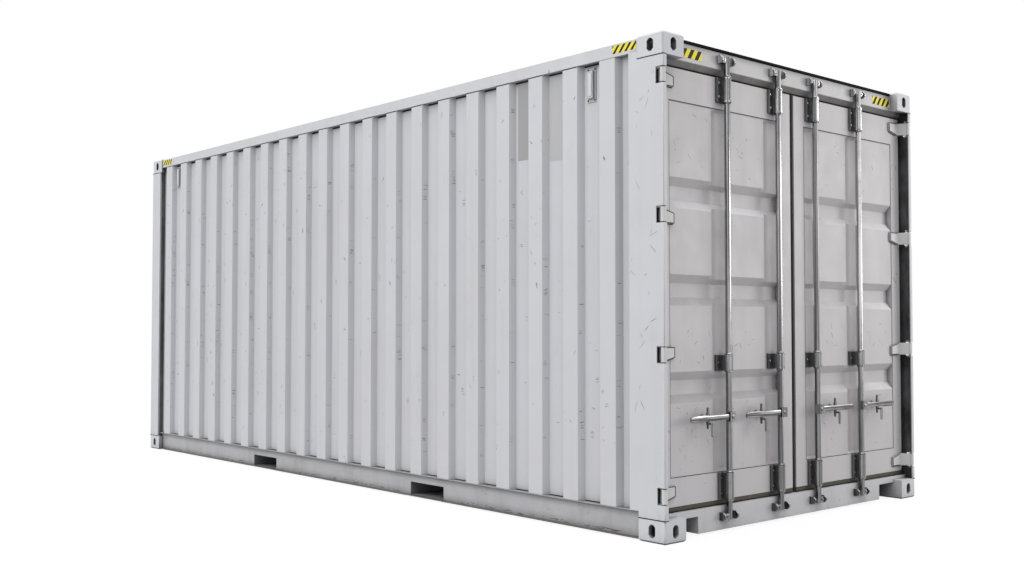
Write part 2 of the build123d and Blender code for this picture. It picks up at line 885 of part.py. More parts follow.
# Lock rods, handles and catches
def lock_rod(name, side, place):
    """An upright rod with a cam at each end and a strap that holds the handle's pin."""
    y = side * place
    cam = (
        (rod_x - cam_root, y),
        (rod_x + cam_root, y),
        (rod_x + cam_tip, y + side * cam_reach),
        (rod_x - cam_tip, y + side * cam_reach),
    )
    strap = (handle_z - hub_height / 2, handle_z + hub_height / 2)
    edge_y = y - side * hub_width / 2
    with BuildPart() as rod:
        post_along_z(rod_radius, rod_x, y, (rod_low, rod_top))
        for low in (rod_low, rod_top - cam_height):
            with BuildSketch(Plane.XY.offset(low)):
                with BuildLine():
                    Polyline(*cam, close=True)
                make_face()
            extrude(amount=cam_height)
        slab((rod_x, hub_front_x), (edge_y, y + side * hub_width / 2), strap)
        slab((rod_x, hub_plate_x + hub_plate), (edge_y, edge_y + side * hub_bridge), strap)
        slab((hub_plate_x, hub_plate_x + hub_plate), (edge_y, y + side * hub_width / 2), strap)
        rivet_x = hub_plate_x + hub_plate
        pin_along_x(handle_pin_radius, (hub_front_x, rivet_x), y, handle_z)
        pin_along_x(rivet_radius, (rivet_x, rivet_x + rivet_height), y, handle_z)
    save(rod, f"lock_rod_{name}")


def handle(name, side, place):
    """A flat bar that turns on the strap's pin and ends in a thicker grip."""
    y = side * place
    shank = handle_end + handle_length - grip_length / 2
    shank_y = y + side * (shank / 2 - handle_end)
    grip_y = y + side * (handle_length - grip_length / 2)
    with BuildPart() as bar:
        with BuildSketch(Plane.YZ.offset(handle_back_x)) as flat:
            with Locations((shank_y, handle_z)):
                Rectangle(shank, handle_height)
            chamfer(flat.vertices(), length=handle_bevel)
            with Locations((y, handle_z)):
                pin_hole(handle_pin_radius)
        extrude(amount=handle_thickness)
        with BuildSketch(Plane.YZ.offset(handle_front_x - grip_thickness)) as grip:
            with Locations((grip_y, handle_z)):
                Rectangle(grip_length, grip_height)
            chamfer(grip.vertices(), length=grip_bevel)
        extrude(amount=grip_thickness)
    save(bar, f"handle_{name}")


def catch(name, side, place):
    """A tongue that hangs on its pin and swings up in front of the handle."""
    y = side * (place + retainer_offset)
    outline = (
        (y - catch_width / 2, catch_z + catch_eye),
        (y + catch_width / 2, catch_z + catch_eye),
        (y + catch_tip, catch_z - catch_length),
        (y - catch_tip, catch_z - catch_length),
    )
    with BuildPart() as tongue:
        with BuildSketch(Plane.YZ.offset(catch_back_x)) as flat:
            with BuildLine():
                Polyline(*outline, close=True)
            make_face()
            chamfer(flat.vertices(), length=catch_bevel)
            with Locations((y, catch_z)):
                pin_hole(catch_pin_radius)
        extrude(amount=catch_thickness)
    save(tongue, f"catch_{name}")


for name, side in sides.items():
    for row, place in rod_places.items():
        lock_rod(f"{name}_{row}", side, place)
        handle(f"{name}_{row}", side, place)
        catch(f"{name}_{row}", side, place)
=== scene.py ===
"""Finish, small fittings, stage, lights and camera for a twenty-foot freight container."""
import json
import math
import random

import bpy
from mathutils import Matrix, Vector


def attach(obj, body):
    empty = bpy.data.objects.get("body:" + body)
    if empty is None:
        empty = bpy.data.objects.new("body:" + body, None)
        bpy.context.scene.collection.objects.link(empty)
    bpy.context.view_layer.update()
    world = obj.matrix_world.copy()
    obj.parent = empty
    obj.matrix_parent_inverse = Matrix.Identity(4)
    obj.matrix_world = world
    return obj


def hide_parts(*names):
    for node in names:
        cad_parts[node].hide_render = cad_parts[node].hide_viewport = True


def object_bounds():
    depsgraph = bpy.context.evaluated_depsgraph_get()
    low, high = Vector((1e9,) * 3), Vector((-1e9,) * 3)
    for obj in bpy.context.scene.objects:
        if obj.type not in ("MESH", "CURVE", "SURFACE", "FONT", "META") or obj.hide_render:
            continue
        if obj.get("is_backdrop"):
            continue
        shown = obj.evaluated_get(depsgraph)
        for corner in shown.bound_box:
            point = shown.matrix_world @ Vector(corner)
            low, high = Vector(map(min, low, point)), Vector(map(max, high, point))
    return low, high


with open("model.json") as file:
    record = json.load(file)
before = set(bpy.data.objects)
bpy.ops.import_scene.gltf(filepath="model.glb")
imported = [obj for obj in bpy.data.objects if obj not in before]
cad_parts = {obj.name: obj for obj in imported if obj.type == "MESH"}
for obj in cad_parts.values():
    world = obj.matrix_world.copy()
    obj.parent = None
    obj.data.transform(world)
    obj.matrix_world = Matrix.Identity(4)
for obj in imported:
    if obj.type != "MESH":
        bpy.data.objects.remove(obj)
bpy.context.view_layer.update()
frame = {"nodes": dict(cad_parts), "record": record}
cad_nodes = frame["nodes"]
chance = random.Random(20)

# Sizes in metres, as the part has them
END_X = 3.029
SIDE_Y = 1.219
WALL_Y = 1.209
VALLEY_Y = 1.177
WALL_PITCH = 0.281
WALL_FLAT = 0.113
WALL_SLOPE = 0.028
WALL_FIRST_EDGE = -2.767
WALL_COUNT = 20
WALL_LOW = 0.150
WALL_TOP = 2.513
WALL_FRONT_END = -2.851
WALL_DOOR_END = 2.790
RAIL_Y = 1.211
RAIL_FOOT = 0.007
RAIL_PLATE = 0.005
WEB_Y = 1.182
HEADER_X = 2.970
HEADER_TOP = 2.585
HEADER_BEVEL_TOP = 2.478
DOOR_X = 2.955
PANEL_X = 2.953
CHANNEL_X = 2.939
CHANNEL_SHIFT = 0.014
DOOR_LOW = 0.165
DOOR_EDGE = 1.190
DOOR_MIDDLE = 0.018
PANEL_LOW = 0.315
PANEL_TOP = 2.264
PANEL_OUTER = 1.090
PANEL_INNER = 0.118
ROD_X = 2.992
ROD_RADIUS = 0.016
ROD_PLACES = {"outer": 0.653, "inner": 0.184}
SIDES = {"left": -1, "right": 1}
OUTWARD_X = (1, 0, 0)
GUIDE_PLATE = 0.006
HANDLE_Z = 0.610
HINGE_HEIGHTS = (0.238, 0.948, 1.658, 2.368)
FITTING_LOW = 0.118
FITTING_TOP = 2.473
FITTING_BACK_X = 2.851
FITTING_INNER_Y = 1.057
DOOR_POST_INNER_Y = 1.192
FRONT_POST_BACK_X = -2.876
FRONT_POST_INNER_Y = 1.119
FRONT_WALL_X = -3.019
FRONT_WELD_X = -2.960


class Graph:
    """A material under construction, with short calls for the nodes that it uses."""

    def __init__(self, name):
        self.material = bpy.data.materials.new(name)
        self.material.use_nodes = True
        self.tree = self.material.node_tree
        self.tree.nodes.clear()
        self.shader = self.tree.nodes.new("ShaderNodeBsdfPrincipled")
        output = self.tree.nodes.new("ShaderNodeOutputMaterial")
        self.tree.links.new(self.shader.outputs["BSDF"], output.inputs["Surface"])
        self.place = self.tree.nodes.new("ShaderNodeTexCoord").outputs["Object"]

    def put(self, value, socket):
        """Set a socket to a number or colour, or link another socket to it."""
        if isinstance(value, bpy.types.NodeSocket):
            self.tree.links.new(value, socket)
        else:
            socket.default_value = value

    def stretched(self, scale):
        """The object's own coordinates, stretched along each axis."""
        made = self.tree.nodes.new("ShaderNodeMapping")
        self.put(self.place, made.inputs["Vector"])
        made.inputs["Scale"].default_value = scale
        return made.outputs["Vector"]

    def noise(self, scale, detail=4.0, roughness=0.55, place=None, distortion=0.0):
        """Cloudy noise from 0 to 1."""
        made = self.tree.nodes.new("ShaderNodeTexNoise")
        self.put(place or self.place, made.inputs["Vector"])
        made.inputs["Scale"].default_value = scale
        made.inputs["Detail"].default_value = detail
        made.inputs["Roughness"].default_value = roughness
        made.inputs["Distortion"].default_value = distortion
        return made.outputs["Fac"]

    def remap(self, value, low, high, to_low=0.0, to_high=1.0):
        """Bring a value from one range to another and keep it there."""
        made = self.tree.nodes.new("ShaderNodeMapRange")
        self.put(value, made.inputs["Value"])
        made.inputs["From Min"].default_value = low
        made.inputs["From Max"].default_value = high
        made.inputs["To Min"].default_value = to_low
        made.inputs["To Max"].default_value = to_high
        return made.outputs["Result"]

    def maths(self, operation, first, second):
        """One sum, product or other simple operation."""
        made = self.tree.nodes.new("ShaderNodeMath")
        made.operation = operation
        self.put(first, made.inputs[0])
        self.put(second, made.inputs[1])
        return made.outputs["Value"]

    def mix(self, factor, first, second):
        """Blend two colours."""
        made = self.tree.nodes.new("ShaderNodeMix")
        made.data_type = "RGBA"
        self.put(factor, made.inputs["Factor"])
        for value, socket in ((first, made.inputs[6]), (second, made.inputs[7])):
            self.put(value if isinstance(value, bpy.types.NodeSocket) else (*value, 1.0), socket)
        return made.outputs[2]

    def upward(self):
        """1 where the surface faces up, 0 where it is upright."""
        made = self.tree.nodes.new("ShaderNodeSeparateXYZ")
        self.put(self.tree.nodes.new("ShaderNodeNewGeometry").outputs["Normal"], made.inputs["Vector"])
        return made.outputs["Z"]

    def along(self, axis):
        """Where a point lies at rest: X, Z, side (the width with its sign) or Y (the width without it).

        For up it is instead how far the surface faces up.
        """
        if axis == "up":
            return self.upward()
        made = self.tree.nodes.new("ShaderNodeSeparateXYZ")
        self.put(self.place, made.inputs["Vector"])
        if axis == "side":
            return made.outputs["Y"]
        if axis == "Y":
            return self.maths("ABSOLUTE", made.outputs["Y"], 0.0)
        return made.outputs[axis]

    def openness(self, distance):
        """1 in the open and lower in corners and seams."""
        made = self.tree.nodes.new("ShaderNodeAmbientOcclusion")
        made.samples = 6
        made.inputs["Distance"].default_value = distance
        return made.outputs["AO"]

    def bump(self, height, depth):
        """Give the surface relief of this depth in metres."""
        made = self.tree.nodes.new("ShaderNodeBump")
        made.inputs["Strength"].default_value = 1.0
        made.inputs["Distance"].default_value = depth
        self.put(height, made.inputs["Height"])
        self.put(made.outputs["Normal"], self.shader.inputs["Normal"])

    def finish(self, colour, roughness, metallic=0.0, specular=0.5):
        """Connect what the material is made of."""
        self.put(colour, self.shader.inputs["Base Color"])
        self.put(roughness, self.shader.inputs["Roughness"])
        self.shader.inputs["Metallic"].default_value = metallic
        self.shader.inputs["Specular IOR Level"].default_value = specular
        return self.material


# Colours of wear, painted shade and painted highlight in any paint
PAINTED_HIGHLIGHT = (0.82, 0.81, 0.82)
SOFT_SHADE = (0.36, 0.362, 0.385)
CORNER_DIRT_AND_SHADE = (0.060, 0.056, 0.052)
HOLE_SHADE = (0.010, 0.010, 0.010)
MUD = (0.19, 0.18, 0.165)
RUST = (0.09, 0.06, 0.045)


def band(colour, amount, *limits):
    """A place with a dirt, painted shade or painted light of its own. Each limit is an axis, where it starts
    and where it is full.
    """
    return limits, colour, amount


def paint(
    name, colour, warm, dirt, streaks, grime_and_shade, chips,
    bands=(), deep=0.30, gloss=0.38, shade=0.8, highlight=0.0,
):
    """Weathered gloss paint on sheet steel: clouding, rain streaks, grime and painted shade in corners, grime
    low down, chips.

    Places less open than deep get a black painted shade, shade sets the painted shade in the folds, and
    highlight sets the painted highlight on the ledges.
    """
    graph = Graph(name)
    cloud = graph.remap(graph.noise(1.1, 5.0), 0.38, 0.66, 0.0, 0.7)
    tone = graph.mix(cloud, colour, warm)
    rain = graph.noise(1.0, 5.0, 0.6, graph.stretched((9.0, 9.0, 0.45)))
    tone = graph.mix(graph.remap(rain, 0.5, 0.8, 0.0, streaks), tone, dirt)
    smudge = graph.noise(6.5, 6.0, 0.68, graph.stretched((1.0, 1.0, 0.5)), 0.4)
    tone = graph.mix(graph.remap(smudge, 0.58, 0.76, 0.0, streaks), tone, dirt)
    # Painted highlight: up-facing ledges are made paler in patches
    ledge = graph.remap(graph.upward(), 0.35, 0.6)
    highlight_mask = graph.maths("MULTIPLY", ledge, graph.remap(cloud, 0.0, 0.6, highlight, 0.0))
    tone = graph.mix(highlight_mask, tone, PAINTED_HIGHLIGHT)
    # Painted shade from occlusion: folds darken, corners take grime and shade, and closed holes turn black
    wide = graph.openness(0.16)
    tone = graph.mix(graph.remap(wide, 1.02, 0.6, 0.0, shade), tone, SOFT_SHADE)
    corner = graph.remap(graph.openness(0.045), 0.72, 0.28)
    corner = graph.maths("MULTIPLY", corner, graph.remap(smudge, 0.3, 0.6, 0.6, 1.0))
    tone = graph.mix(graph.maths("MULTIPLY", corner, grime_and_shade), tone, CORNER_DIRT_AND_SHADE)
    tone = graph.mix(graph.remap(wide, deep, deep * 0.5, 0.0, 0.97), tone, HOLE_SHADE)
    for limits, band_colour, amount in bands:
        reach = graph.remap(smudge, 0.3, 0.6, 0.75 * amount, amount)
        for axis, start, end in limits:
            reach = graph.maths("MULTIPLY", reach, graph.remap(graph.along(axis), start, end))
        tone = graph.mix(reach, tone, band_colour)
    low = graph.remap(graph.along("Z"), 0.20, 0.02, 0.0, 0.5)
    low = graph.maths("MULTIPLY", low, graph.remap(smudge, 0.44, 0.66))
    tone = graph.mix(graph.maths("MULTIPLY", low, grime_and_shade), tone, MUD)
    speck = graph.noise(46.0, 3.0, 0.5, graph.stretched((1.0, 1.0, 0.7)))
    worn = graph.noise(1.7, 3.0)
    speck = graph.maths("MULTIPLY", graph.remap(speck, 0.70, 0.73), graph.remap(worn, 0.5, 0.6))
    tone = graph.mix(graph.maths("MULTIPLY", speck, chips), tone, RUST)
    dents = graph.noise(3.2, 2.0)
    peel = graph.noise(150.0, 2.0)
    relief = graph.maths("ADD", dents, graph.maths("MULTIPLY", peel, 0.015))
    graph.bump(graph.maths("SUBTRACT", relief, graph.maths("MULTIPLY", speck, 0.06)), 0.006)
    sheen = graph.remap(graph.noise(7.0, 4.0), 0.3, 0.7, gloss, gloss + 0.14)
    sheen = graph.maths("ADD", sheen, graph.maths("MULTIPLY", corner, 0.25))
    return graph.finish(tone, sheen)


UPRIGHT_GRAIN = (110.0, 110.0, 0.5)
LEVEL_GRAIN = (110.0, 3.0, 110.0)
STEEL_TOP_HIGHLIGHT = (0.78, 0.78, 0.79)
STEEL_UNDERSIDE_SHADE = (0.022, 0.021, 0.020)
STEEL_CORNER_SHADE = (0.03, 0.028, 0.025)


def steel(name, colour, stain, roughness, stains, metallic=1.0, low_shade=0.45, grain=UPRIGHT_GRAIN):
    """Zinc-plated or forged steel: drawn streaks and dull patches, painted shade low down, a painted
    highlight on tops, and painted shade on undersides and in corners.
    """
    graph = Graph(name)
    drawn = graph.noise(1.0, 3.0, 0.5, graph.stretched(grain))
    patch = graph.noise(9.0, 5.0, 0.62)
    tone = graph.mix(graph.remap(patch, 0.48, 0.75, 0.0, stains * 0.4), colour, stain)
    tone = graph.mix(graph.remap(drawn, 0.44, 0.55, 0.0, stains), tone, stain)
    # Painted shade: darker towards the bottom
    low = graph.remap(graph.along("Z"), 1.4, 0.75, 0.0, low_shade)
    tone = graph.mix(low, tone, stain)
    # Painted highlight on tops, painted shade on undersides and in corners
    tone = graph.mix(graph.remap(graph.upward(), 0.3, 0.9, 0.0, 0.7), tone, STEEL_TOP_HIGHLIGHT)
    tone = graph.mix(graph.remap(graph.upward(), -0.1, -0.7, 0.0, 0.85), tone, STEEL_UNDERSIDE_SHADE)
    corner = graph.remap(graph.openness(0.025), 0.75, 0.3)
    tone = graph.mix(graph.maths("MULTIPLY", corner, 0.75), tone, STEEL_CORNER_SHADE)
    fine = graph.noise(70.0, 3.0)
    graph.bump(graph.maths("ADD", patch, graph.maths("MULTIPLY", fine, 0.15)), 0.0004)
    return graph.finish(tone, graph.remap(patch, 0.3, 0.75, roughness, roughness + 0.12), metallic)


def rubber(name):
    """Black rubber with a pale bloom and dust."""
    graph = Graph(name)
    dust = graph.noise(22.0, 5.0, 0.6)
    tone = graph.mix(graph.remap(dust, 0.5, 0.75, 0.0, 0.5), (0.012, 0.012, 0.012), (0.055, 0.052, 0.048))
    graph.bump(graph.noise(240.0, 2.0), 0.0004)
    return graph.finish(tone, graph.remap(dust, 0.3, 0.7, 0.55, 0.8), 0.0, 0.35)


BOARD_LENGTH = 2.4
BOARD_WIDTH = 0.392
BOARD_SEAM = 0.003


def plywood(name):
    """Varnished floor boards that run along the length, with grain, seams and tyre marks."""
    graph = Graph(name)
    grain = graph.noise(1.0, 6.0, 0.6, graph.stretched((1.6, 70.0, 40.0)), 0.6)
    tone = graph.mix(graph.remap(grain, 0.3, 0.7), (0.20, 0.105, 0.05), (0.37, 0.225, 0.12))
    board = graph.tree.nodes.new("ShaderNodeTexBrick")
    graph.put(graph.place, board.inputs["Vector"])
    board.inputs["Scale"].default_value = 1.0
    board.inputs["Brick Width"].default_value = BOARD_LENGTH
    board.inputs["Row Height"].default_value = BOARD_WIDTH
    board.inputs["Mortar Size"].default_value = BOARD_SEAM
    seam = board.outputs["Fac"]
    tone = graph.mix(graph.maths("MULTIPLY", seam, 0.85), tone, (0.03, 0.02, 0.012))
    marks = graph.noise(2.2, 5.0, 0.6, graph.stretched((0.4, 2.0, 1.0)))
    tone = graph.mix(graph.remap(marks, 0.55, 0.72, 0.0, 0.5), tone, (0.06, 0.045, 0.035))
    relief = graph.maths("SUBTRACT", graph.maths("MULTIPLY", grain, 0.3), seam)
    graph.bump(relief, 0.0015)
    return graph.finish(tone, graph.remap(marks, 0.3, 0.7, 0.4, 0.65))


def sign_paint(name, colour, worn_colour, specular=0.4):
    """Marking paint or film, scuffed so that the ground shows here and there."""
    graph = Graph(name)
    scuff = graph.noise(34.0, 5.0, 0.65)
    tone = graph.mix(graph.remap(scuff, 0.58, 0.72, 0.0, 0.8), colour, worn_colour)
    graph.bump(graph.noise(120.0, 2.0), 0.0004)
    return graph.finish(tone, graph.remap(scuff, 0.3, 0.7, 0.38, 0.6), 0.0, specular)


PALE = (0.600, 0.602, 0.635)
WARM = (0.585, 0.580, 0.600)
DIRT = (0.40, 0.395, 0.395)
GRIME = (0.075, 0.070, 0.064)
DOOR_GREY = (0.545, 0.525, 0.540)
DOOR_WARM = (0.520, 0.500, 0.505)
ROD_SHADOW = (0.10, 0.098, 0.098)
CHANNEL_SLOPE_LIGHT = (0.70, 0.68, 0.695)


def shell_paint(name, bands=()):
    """The pale paint of the frame and the walls."""
    return paint(name, PALE, WARM, DIRT, 0.2, 0.75, 0.55, bands)


def door_paint(name, bands=()):
    """The doors' paint, with a painted highlight on its ledges."""
    return paint(name, DOOR_GREY, DOOR_WARM, DIRT, 0.28, 0.85, 0.5, bands, gloss=0.42, shade=0.08, highlight=0.85)


def rod_shadow_bands(sign):
    """Painted shadow behind each lock rod of a leaf, darker towards the rod, and painted light on the slope
    at the edge of its channel.
    """
    bands = []
    slope = (("X", CHANNEL_X + 0.0002, CHANNEL_X + 0.0015), ("X", PANEL_X - 0.0002, PANEL_X - 0.0015))
    for place in ROD_PLACES.values():
        y = sign * place
        edge = y - 0.085
        near_edge = (("side", edge - 0.030, edge - 0.015), ("side", edge + 0.030, edge + 0.015))
        fade = ("side", y + 0.09, y + 0.06)
        bands.append(band(CHANNEL_SLOPE_LIGHT, 0.75, *near_edge, *slope))
        bands.append(band(ROD_SHADOW, 0.2, ("side", y - 0.21, y - 0.03), fade))
        bands.append(band(ROD_SHADOW, 0.35, ("side", y - 0.06, y + 0.02), fade))
    return bands


materials = {
    "shell_paint": shell_paint("shell_paint"),
    "door_paint": door_paint("door_paint"),
    "bare_steel": steel("bare_steel", (0.72, 0.725, 0.735), (0.11, 0.112, 0.115), 0.14, 0.9, low_shade=0.72),
    "dark_steel": steel("dark_steel", (0.25, 0.255, 0.262), (0.12, 0.118, 0.116), 0.32, 0.6, metallic=0.9),
    "seal_rubber": rubber("seal_rubber"),
    "plywood": plywood("plywood"),
    "vent_plastic": paint("vent_plastic", (0.56, 0.56, 0.58), (0.52, 0.52, 0.53), DIRT, 0.3, 1.0, 0.3),
}

# Finishes of nodes with wear, painted shade or painted light of their own
flange_top = RAIL_FOOT + RAIL_PLATE
# Painted shade on the up-facing ledges of the left leaf below about 1.45 m
ledge_shade = [band((0.30, 0.29, 0.295), 0.8, ("up", 0.3, 0.55), ("Z", 1.50, 1.45))]
# Painted shade, near black, on the inner faces of the door posts beside the doors
post_shade_bands = [
    band(
        (0.016, 0.015, 0.014), 1.0,
        ("Y", SIDE_Y - 0.0030, SIDE_Y - 0.0065), ("X", END_X - 0.009, END_X - 0.015),
    ),
]
# Painted shade in the recess behind the front posts, where the walls begin
front_post_shade_bands = [band((0.045, 0.043, 0.041), 0.95, ("X", -2.8790, -2.8770), ("Y", 1.207, 1.203))]
# Painted shade on the header's lower bevel and below it, and darker towards the strip at its top
header_bands = [
    band((0.115, 0.110, 0.106), 0.95, ("Z", HEADER_BEVEL_TOP + 0.003, HEADER_BEVEL_TOP - 0.003)),
    band((0.16, 0.155, 0.15), 0.55, ("Z", HEADER_TOP - 0.050, HEADER_TOP - 0.013)),
]
# Bottom rails: painted shadow under the top flange, dirt towards the foot, and a dark line in the crease
# above the foot flange
rail_bands = [
    band((0.17, 0.165, 0.165), 0.6, ("Z", 0.105, 0.143)),
    band((0.22, 0.21, 0.20), 0.6, ("Z", 0.055, 0.018)),
    band(CORNER_DIRT_AND_SHADE, 0.92, ("Z", flange_top + 0.0030, flange_top + 0.0005)),
]
front_post_paint = shell_paint("front_post_paint", front_post_shade_bands)
post_paint = shell_paint("post_paint", post_shade_bands)
header_paint = paint("header_paint", (0.575, 0.560, 0.555), WARM, DIRT, 0.3, 0.8, 0.5, header_bands)
sill_paint = paint("sill_paint", (0.585, 0.575, 0.60), (0.55, 0.54, 0.55), DIRT, 0.3, 0.4, 0.7, shade=0.25)
rail_paint = paint("rail_paint", (0.55, 0.55, 0.575), WARM, DIRT, 0.3, 0.8, 0.8, rail_bands)
# Fork pockets painted near black: painted shade in their hollows
pocket_shade_paint = paint("pocket_shade_paint", (0.050, 0.047, 0.044), (0.035, 0.032, 0.030), GRIME, 0.6, 0.9, 0.6)
hinge_paint = paint("hinge_paint", (0.64, 0.64, 0.635), (0.60, 0.595, 0.585), DIRT, 0.25, 0.7, 0.5)
fitting_paint = paint("fitting_paint", PALE, WARM, DIRT, 0.12, 0.2, 0.5, deep=0.75, shade=0.2)
low_fitting_paint = paint("low_fitting_paint", PALE, WARM, DIRT, 0.12, 0.08, 0.5, deep=0.50, shade=0.05)
forged_steel = steel(
    "forged_steel", (0.46, 0.46, 0.465), (0.05, 0.05, 0.048), 0.18, 0.85, low_shade=0.3, grain=LEVEL_GRAIN,
)
keeper_steel = steel("keeper_steel", (0.72, 0.72, 0.73), (0.06, 0.06, 0.06), 0.22, 0.75, low_shade=0.8)
OWN_FINISH = {
    "corner_fittings_bottom": low_fitting_paint,
    "corner_fittings_top": fitting_paint,
    "cam_keepers": keeper_steel,
    "front_posts": front_post_paint,
    "door_header": header_paint,
    "door_sill": sill_paint,
    "fork_pockets": pocket_shade_paint,
}
LEDGE_SHADE = {"left": ledge_shade, "right": []}
for side, sign in SIDES.items():
    OWN_FINISH[f"door_post_{side}"] = post_paint
    OWN_FINISH[f"bottom_side_rail_{side}"] = rail_paint
    OWN_FINISH[f"door_hinges_{side}"] = hinge_paint
    OWN_FINISH[f"door_panel_{side}"] = door_paint(f"{side}_panel_paint", rod_shadow_bands(sign) + LEDGE_SHADE[side])

# Finishes of the scene's own pieces
yellow_mark = sign_paint("yellow_mark", (0.86, 0.74, 0.03), (0.55, 0.47, 0.16))
black_mark = sign_paint("black_mark", (0.020, 0.015, 0.006), (0.10, 0.08, 0.03), 0.15)
scuff_mark = sign_paint("scuff_mark", (0.085, 0.083, 0.085), (0.20, 0.20, 0.205))
faint_mark = sign_paint("faint_mark", (0.30, 0.30, 0.31), (0.40, 0.40, 0.41))
dark_seam_and_shadow = sign_paint("dark_seam_and_shadow", (0.026, 0.024, 0.024), (0.09, 0.086, 0.082), 0.1)
door_line_and_shadow = sign_paint("door_line_and_shadow", (0.065, 0.062, 0.061), (0.17, 0.165, 0.16), 0.1)
repaint = sign_paint("repaint", (0.337, 0.334, 0.341), (0.352, 0.349, 0.355))
repaint_pale = sign_paint("repaint_pale", (0.460, 0.457, 0.473), (0.480, 0.477, 0.491))
top_strip_black = sign_paint("top_strip_black", (0.004, 0.004, 0.004), (0.010, 0.009, 0.008), 0.03)
gasket_lip = sign_paint("gasket_lip", (0.062, 0.057, 0.040), (0.13, 0.12, 0.088), 0.2)
weld_paint = paint("weld_paint", (0.50, 0.50, 0.515), (0.44, 0.43, 0.42), DIRT, 0.4, 0.8, 0.9)
vent_face = paint("vent_face", (0.66, 0.66, 0.67), (0.63, 0.63, 0.63), DIRT, 0.2, 0.6, 0.3)

# Finish of every node, with folded and cut edges softened as the paint softens them
SAME_POINT = 0.00002
PAINTED_EDGE = 0.0025
SHARP_EDGE = math.radians(28)
EDGE_SOFTNESS = {"bare_steel": 0.0012, "dark_steel": 0.0012, "plywood": 0.002, "seal_rubber": 0.003}
for row in frame["record"]["subparts"]:
    piece = cad_nodes[row["node"]]
    piece.data.materials.clear()
    piece.data.materials.append(OWN_FINISH.get(row["node"], materials[row["material_slot"]]))
    weld = piece.modifiers.new("join", "WELD")
    weld.merge_threshold = SAME_POINT
    soften = piece.modifiers.new("soften", "BEVEL")
    soften.width = EDGE_SOFTNESS.get(row["material_slot"], PAINTED_EDGE)
    soften.segments = 2
    soften.limit_method = "ANGLE"
    soften.angle_limit = SHARP_EDGE
    soften.harden_normals = True


SMOOTH_UNDER = math.radians(40)


class Shape:
    """Collects the points and faces of one piece."""

    def __init__(self):
        self.points = []
        self.faces = []
        self.looks = []

    def add(self, points, faces, look=0):
        """Add faces between new points."""
        first = len(self.points)
        self.points.extend(Vector(point) for point in points)
        for face in faces:
            self.faces.append([first + index for index in face])
            self.looks.append(look)

    def prism(self, outline, reach, look=0):
        """A flat outline pushed along a vector into a solid."""
        count = len(outline)
        near = [Vector(point) for point in outline]
        far = [point + Vector(reach) for point in near]
        faces = [list(range(count))[::-1], list(range(count, 2 * count))]
        for n in range(count):
            after = (n + 1) % count
            faces.append([n, after, count + after, count + n])
        self.add(near + far, faces, look)

    def box(self, low, high):
        """A box between two corners."""
        outline = [
            (low[0], low[1], low[2]),
            (high[0], low[1], low[2]),
            (high[0], high[1], low[2]),
            (low[0], high[1], low[2]),
        ]
        self.prism(outline, (0.0, 0.0, high[2] - low[2]))

    def rings(self, rings, look=0, closed=False):
        """A skin over rings of points, with flat ends or with the last ring joined to the first."""
        count = len(rings[0])
        starts = [count * n for n in range(len(rings))]
        pairs = list(zip(starts, starts[1:]))
        faces = []
        if closed:
            pairs.append((starts[-1], starts[0]))
        else:
            faces.append(list(range(count))[::-1])
            faces.append(list(range(starts[-1], starts[-1] + count)))
        for lower, upper in pairs:
            for n in range(count):
                after = (n + 1) % count
                faces.append([lower + n, lower + after, upper + after, upper + n])
        self.add([point for ring in rings for point in ring], faces, look)

    def turned(self, profile, foot, axis, count=16, look=0, closed=False):
        """A profile of radius and height pairs turned about an axis that starts at foot."""
        turn = Vector(axis).to_track_quat("Z", "Y").to_matrix()
        rings = []
        for radius, rise in profile:
            ring = []
            for n in range(count):
                angle = 2 * math.pi * n / count
                local = Vector((radius * math.cos(angle), radius * math.sin(angle), rise))
                ring.append(Vector(foot) + turn @ local)
            rings.append(ring)
        self.rings(rings, look, closed)

    def bead(self, start, end, radius, step):
        """A weld bead with ripples between two points."""
        start = Vector(start)
        run = Vector(end) - start
        count = max(2, int(run.length / step))
        turn = run.to_track_quat("Z", "Y").to_matrix()
        around = 6
        rings = []
        for n in range(count + 1):
            swell = radius * (1.0 + chance.uniform(-0.14, 0.14) + (0.12 if n % 2 else -0.08))
            ring = []
            for k in range(around):
                angle = 2 * math.pi * k / around
                local = Vector((swell * math.cos(angle), swell * math.sin(angle), 0.0))
                ring.append(start + run * (n / count) + turn @ local)
            rings.append(ring)
        self.rings(rings)

    def make(self, name, body, looks, smooth=False):
        """Turn what was collected into a piece that rides on a body."""
        mesh = bpy.data.meshes.new(name)
        mesh.from_pydata(self.points, [], self.faces)
        for look in looks:
            mesh.materials.append(look)
        for polygon, look in zip(mesh.polygons, self.looks):
            polygon.material_index = look
            polygon.use_smooth = smooth
        mesh.update()
        piece = bpy.data.objects.new(name, mesh)
        bpy.context.scene.collection.objects.link(piece)
        if smooth:
            split = piece.modifiers.new("split", "EDGE_SPLIT")
            split.split_angle = SMOOTH_UNDER
        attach(piece, body)
        return piece


# Outlines of a bolt for a radius of 1
WASHER = ((1.5, 0.0), (1.5, 0.25), (1.35, 0.33), (0.0, 0.33))
HEXAGON_HEAD = ((1.0, 0.2), (1.0, 0.75), (0.82, 0.95), (0.0, 1.0))


def bolt(shape, foot, axis, radius):
    """A washer and a low hexagon head with a domed face."""
    for profile, count in ((WASHER, 16), (HEXAGON_HEAD, 6)):
        shape.turned([(out * radius, rise * radius) for out, rise in profile], foot, axis, count)


# Hazard stripes at the ends of the top side rails and of the header
MARK_LIFT = 0.0008


def cut_square(outline, low, high):
    """The part of an outline between two upright lines."""
    for limit, keep in ((low, 1), (high, -1)):
        kept = []
        for (along, up), (next_along, next_up) in zip(outline, outline[1:] + outline[:1]):
            if (along - limit) * keep >= 0:
                kept.append((along, up))
            if (along - limit) * (next_along - limit) < 0:
                share = (limit - along) / (next_along - along)
                kept.append((limit, up + share * (next_up - up)))
        outline = kept
    return outline


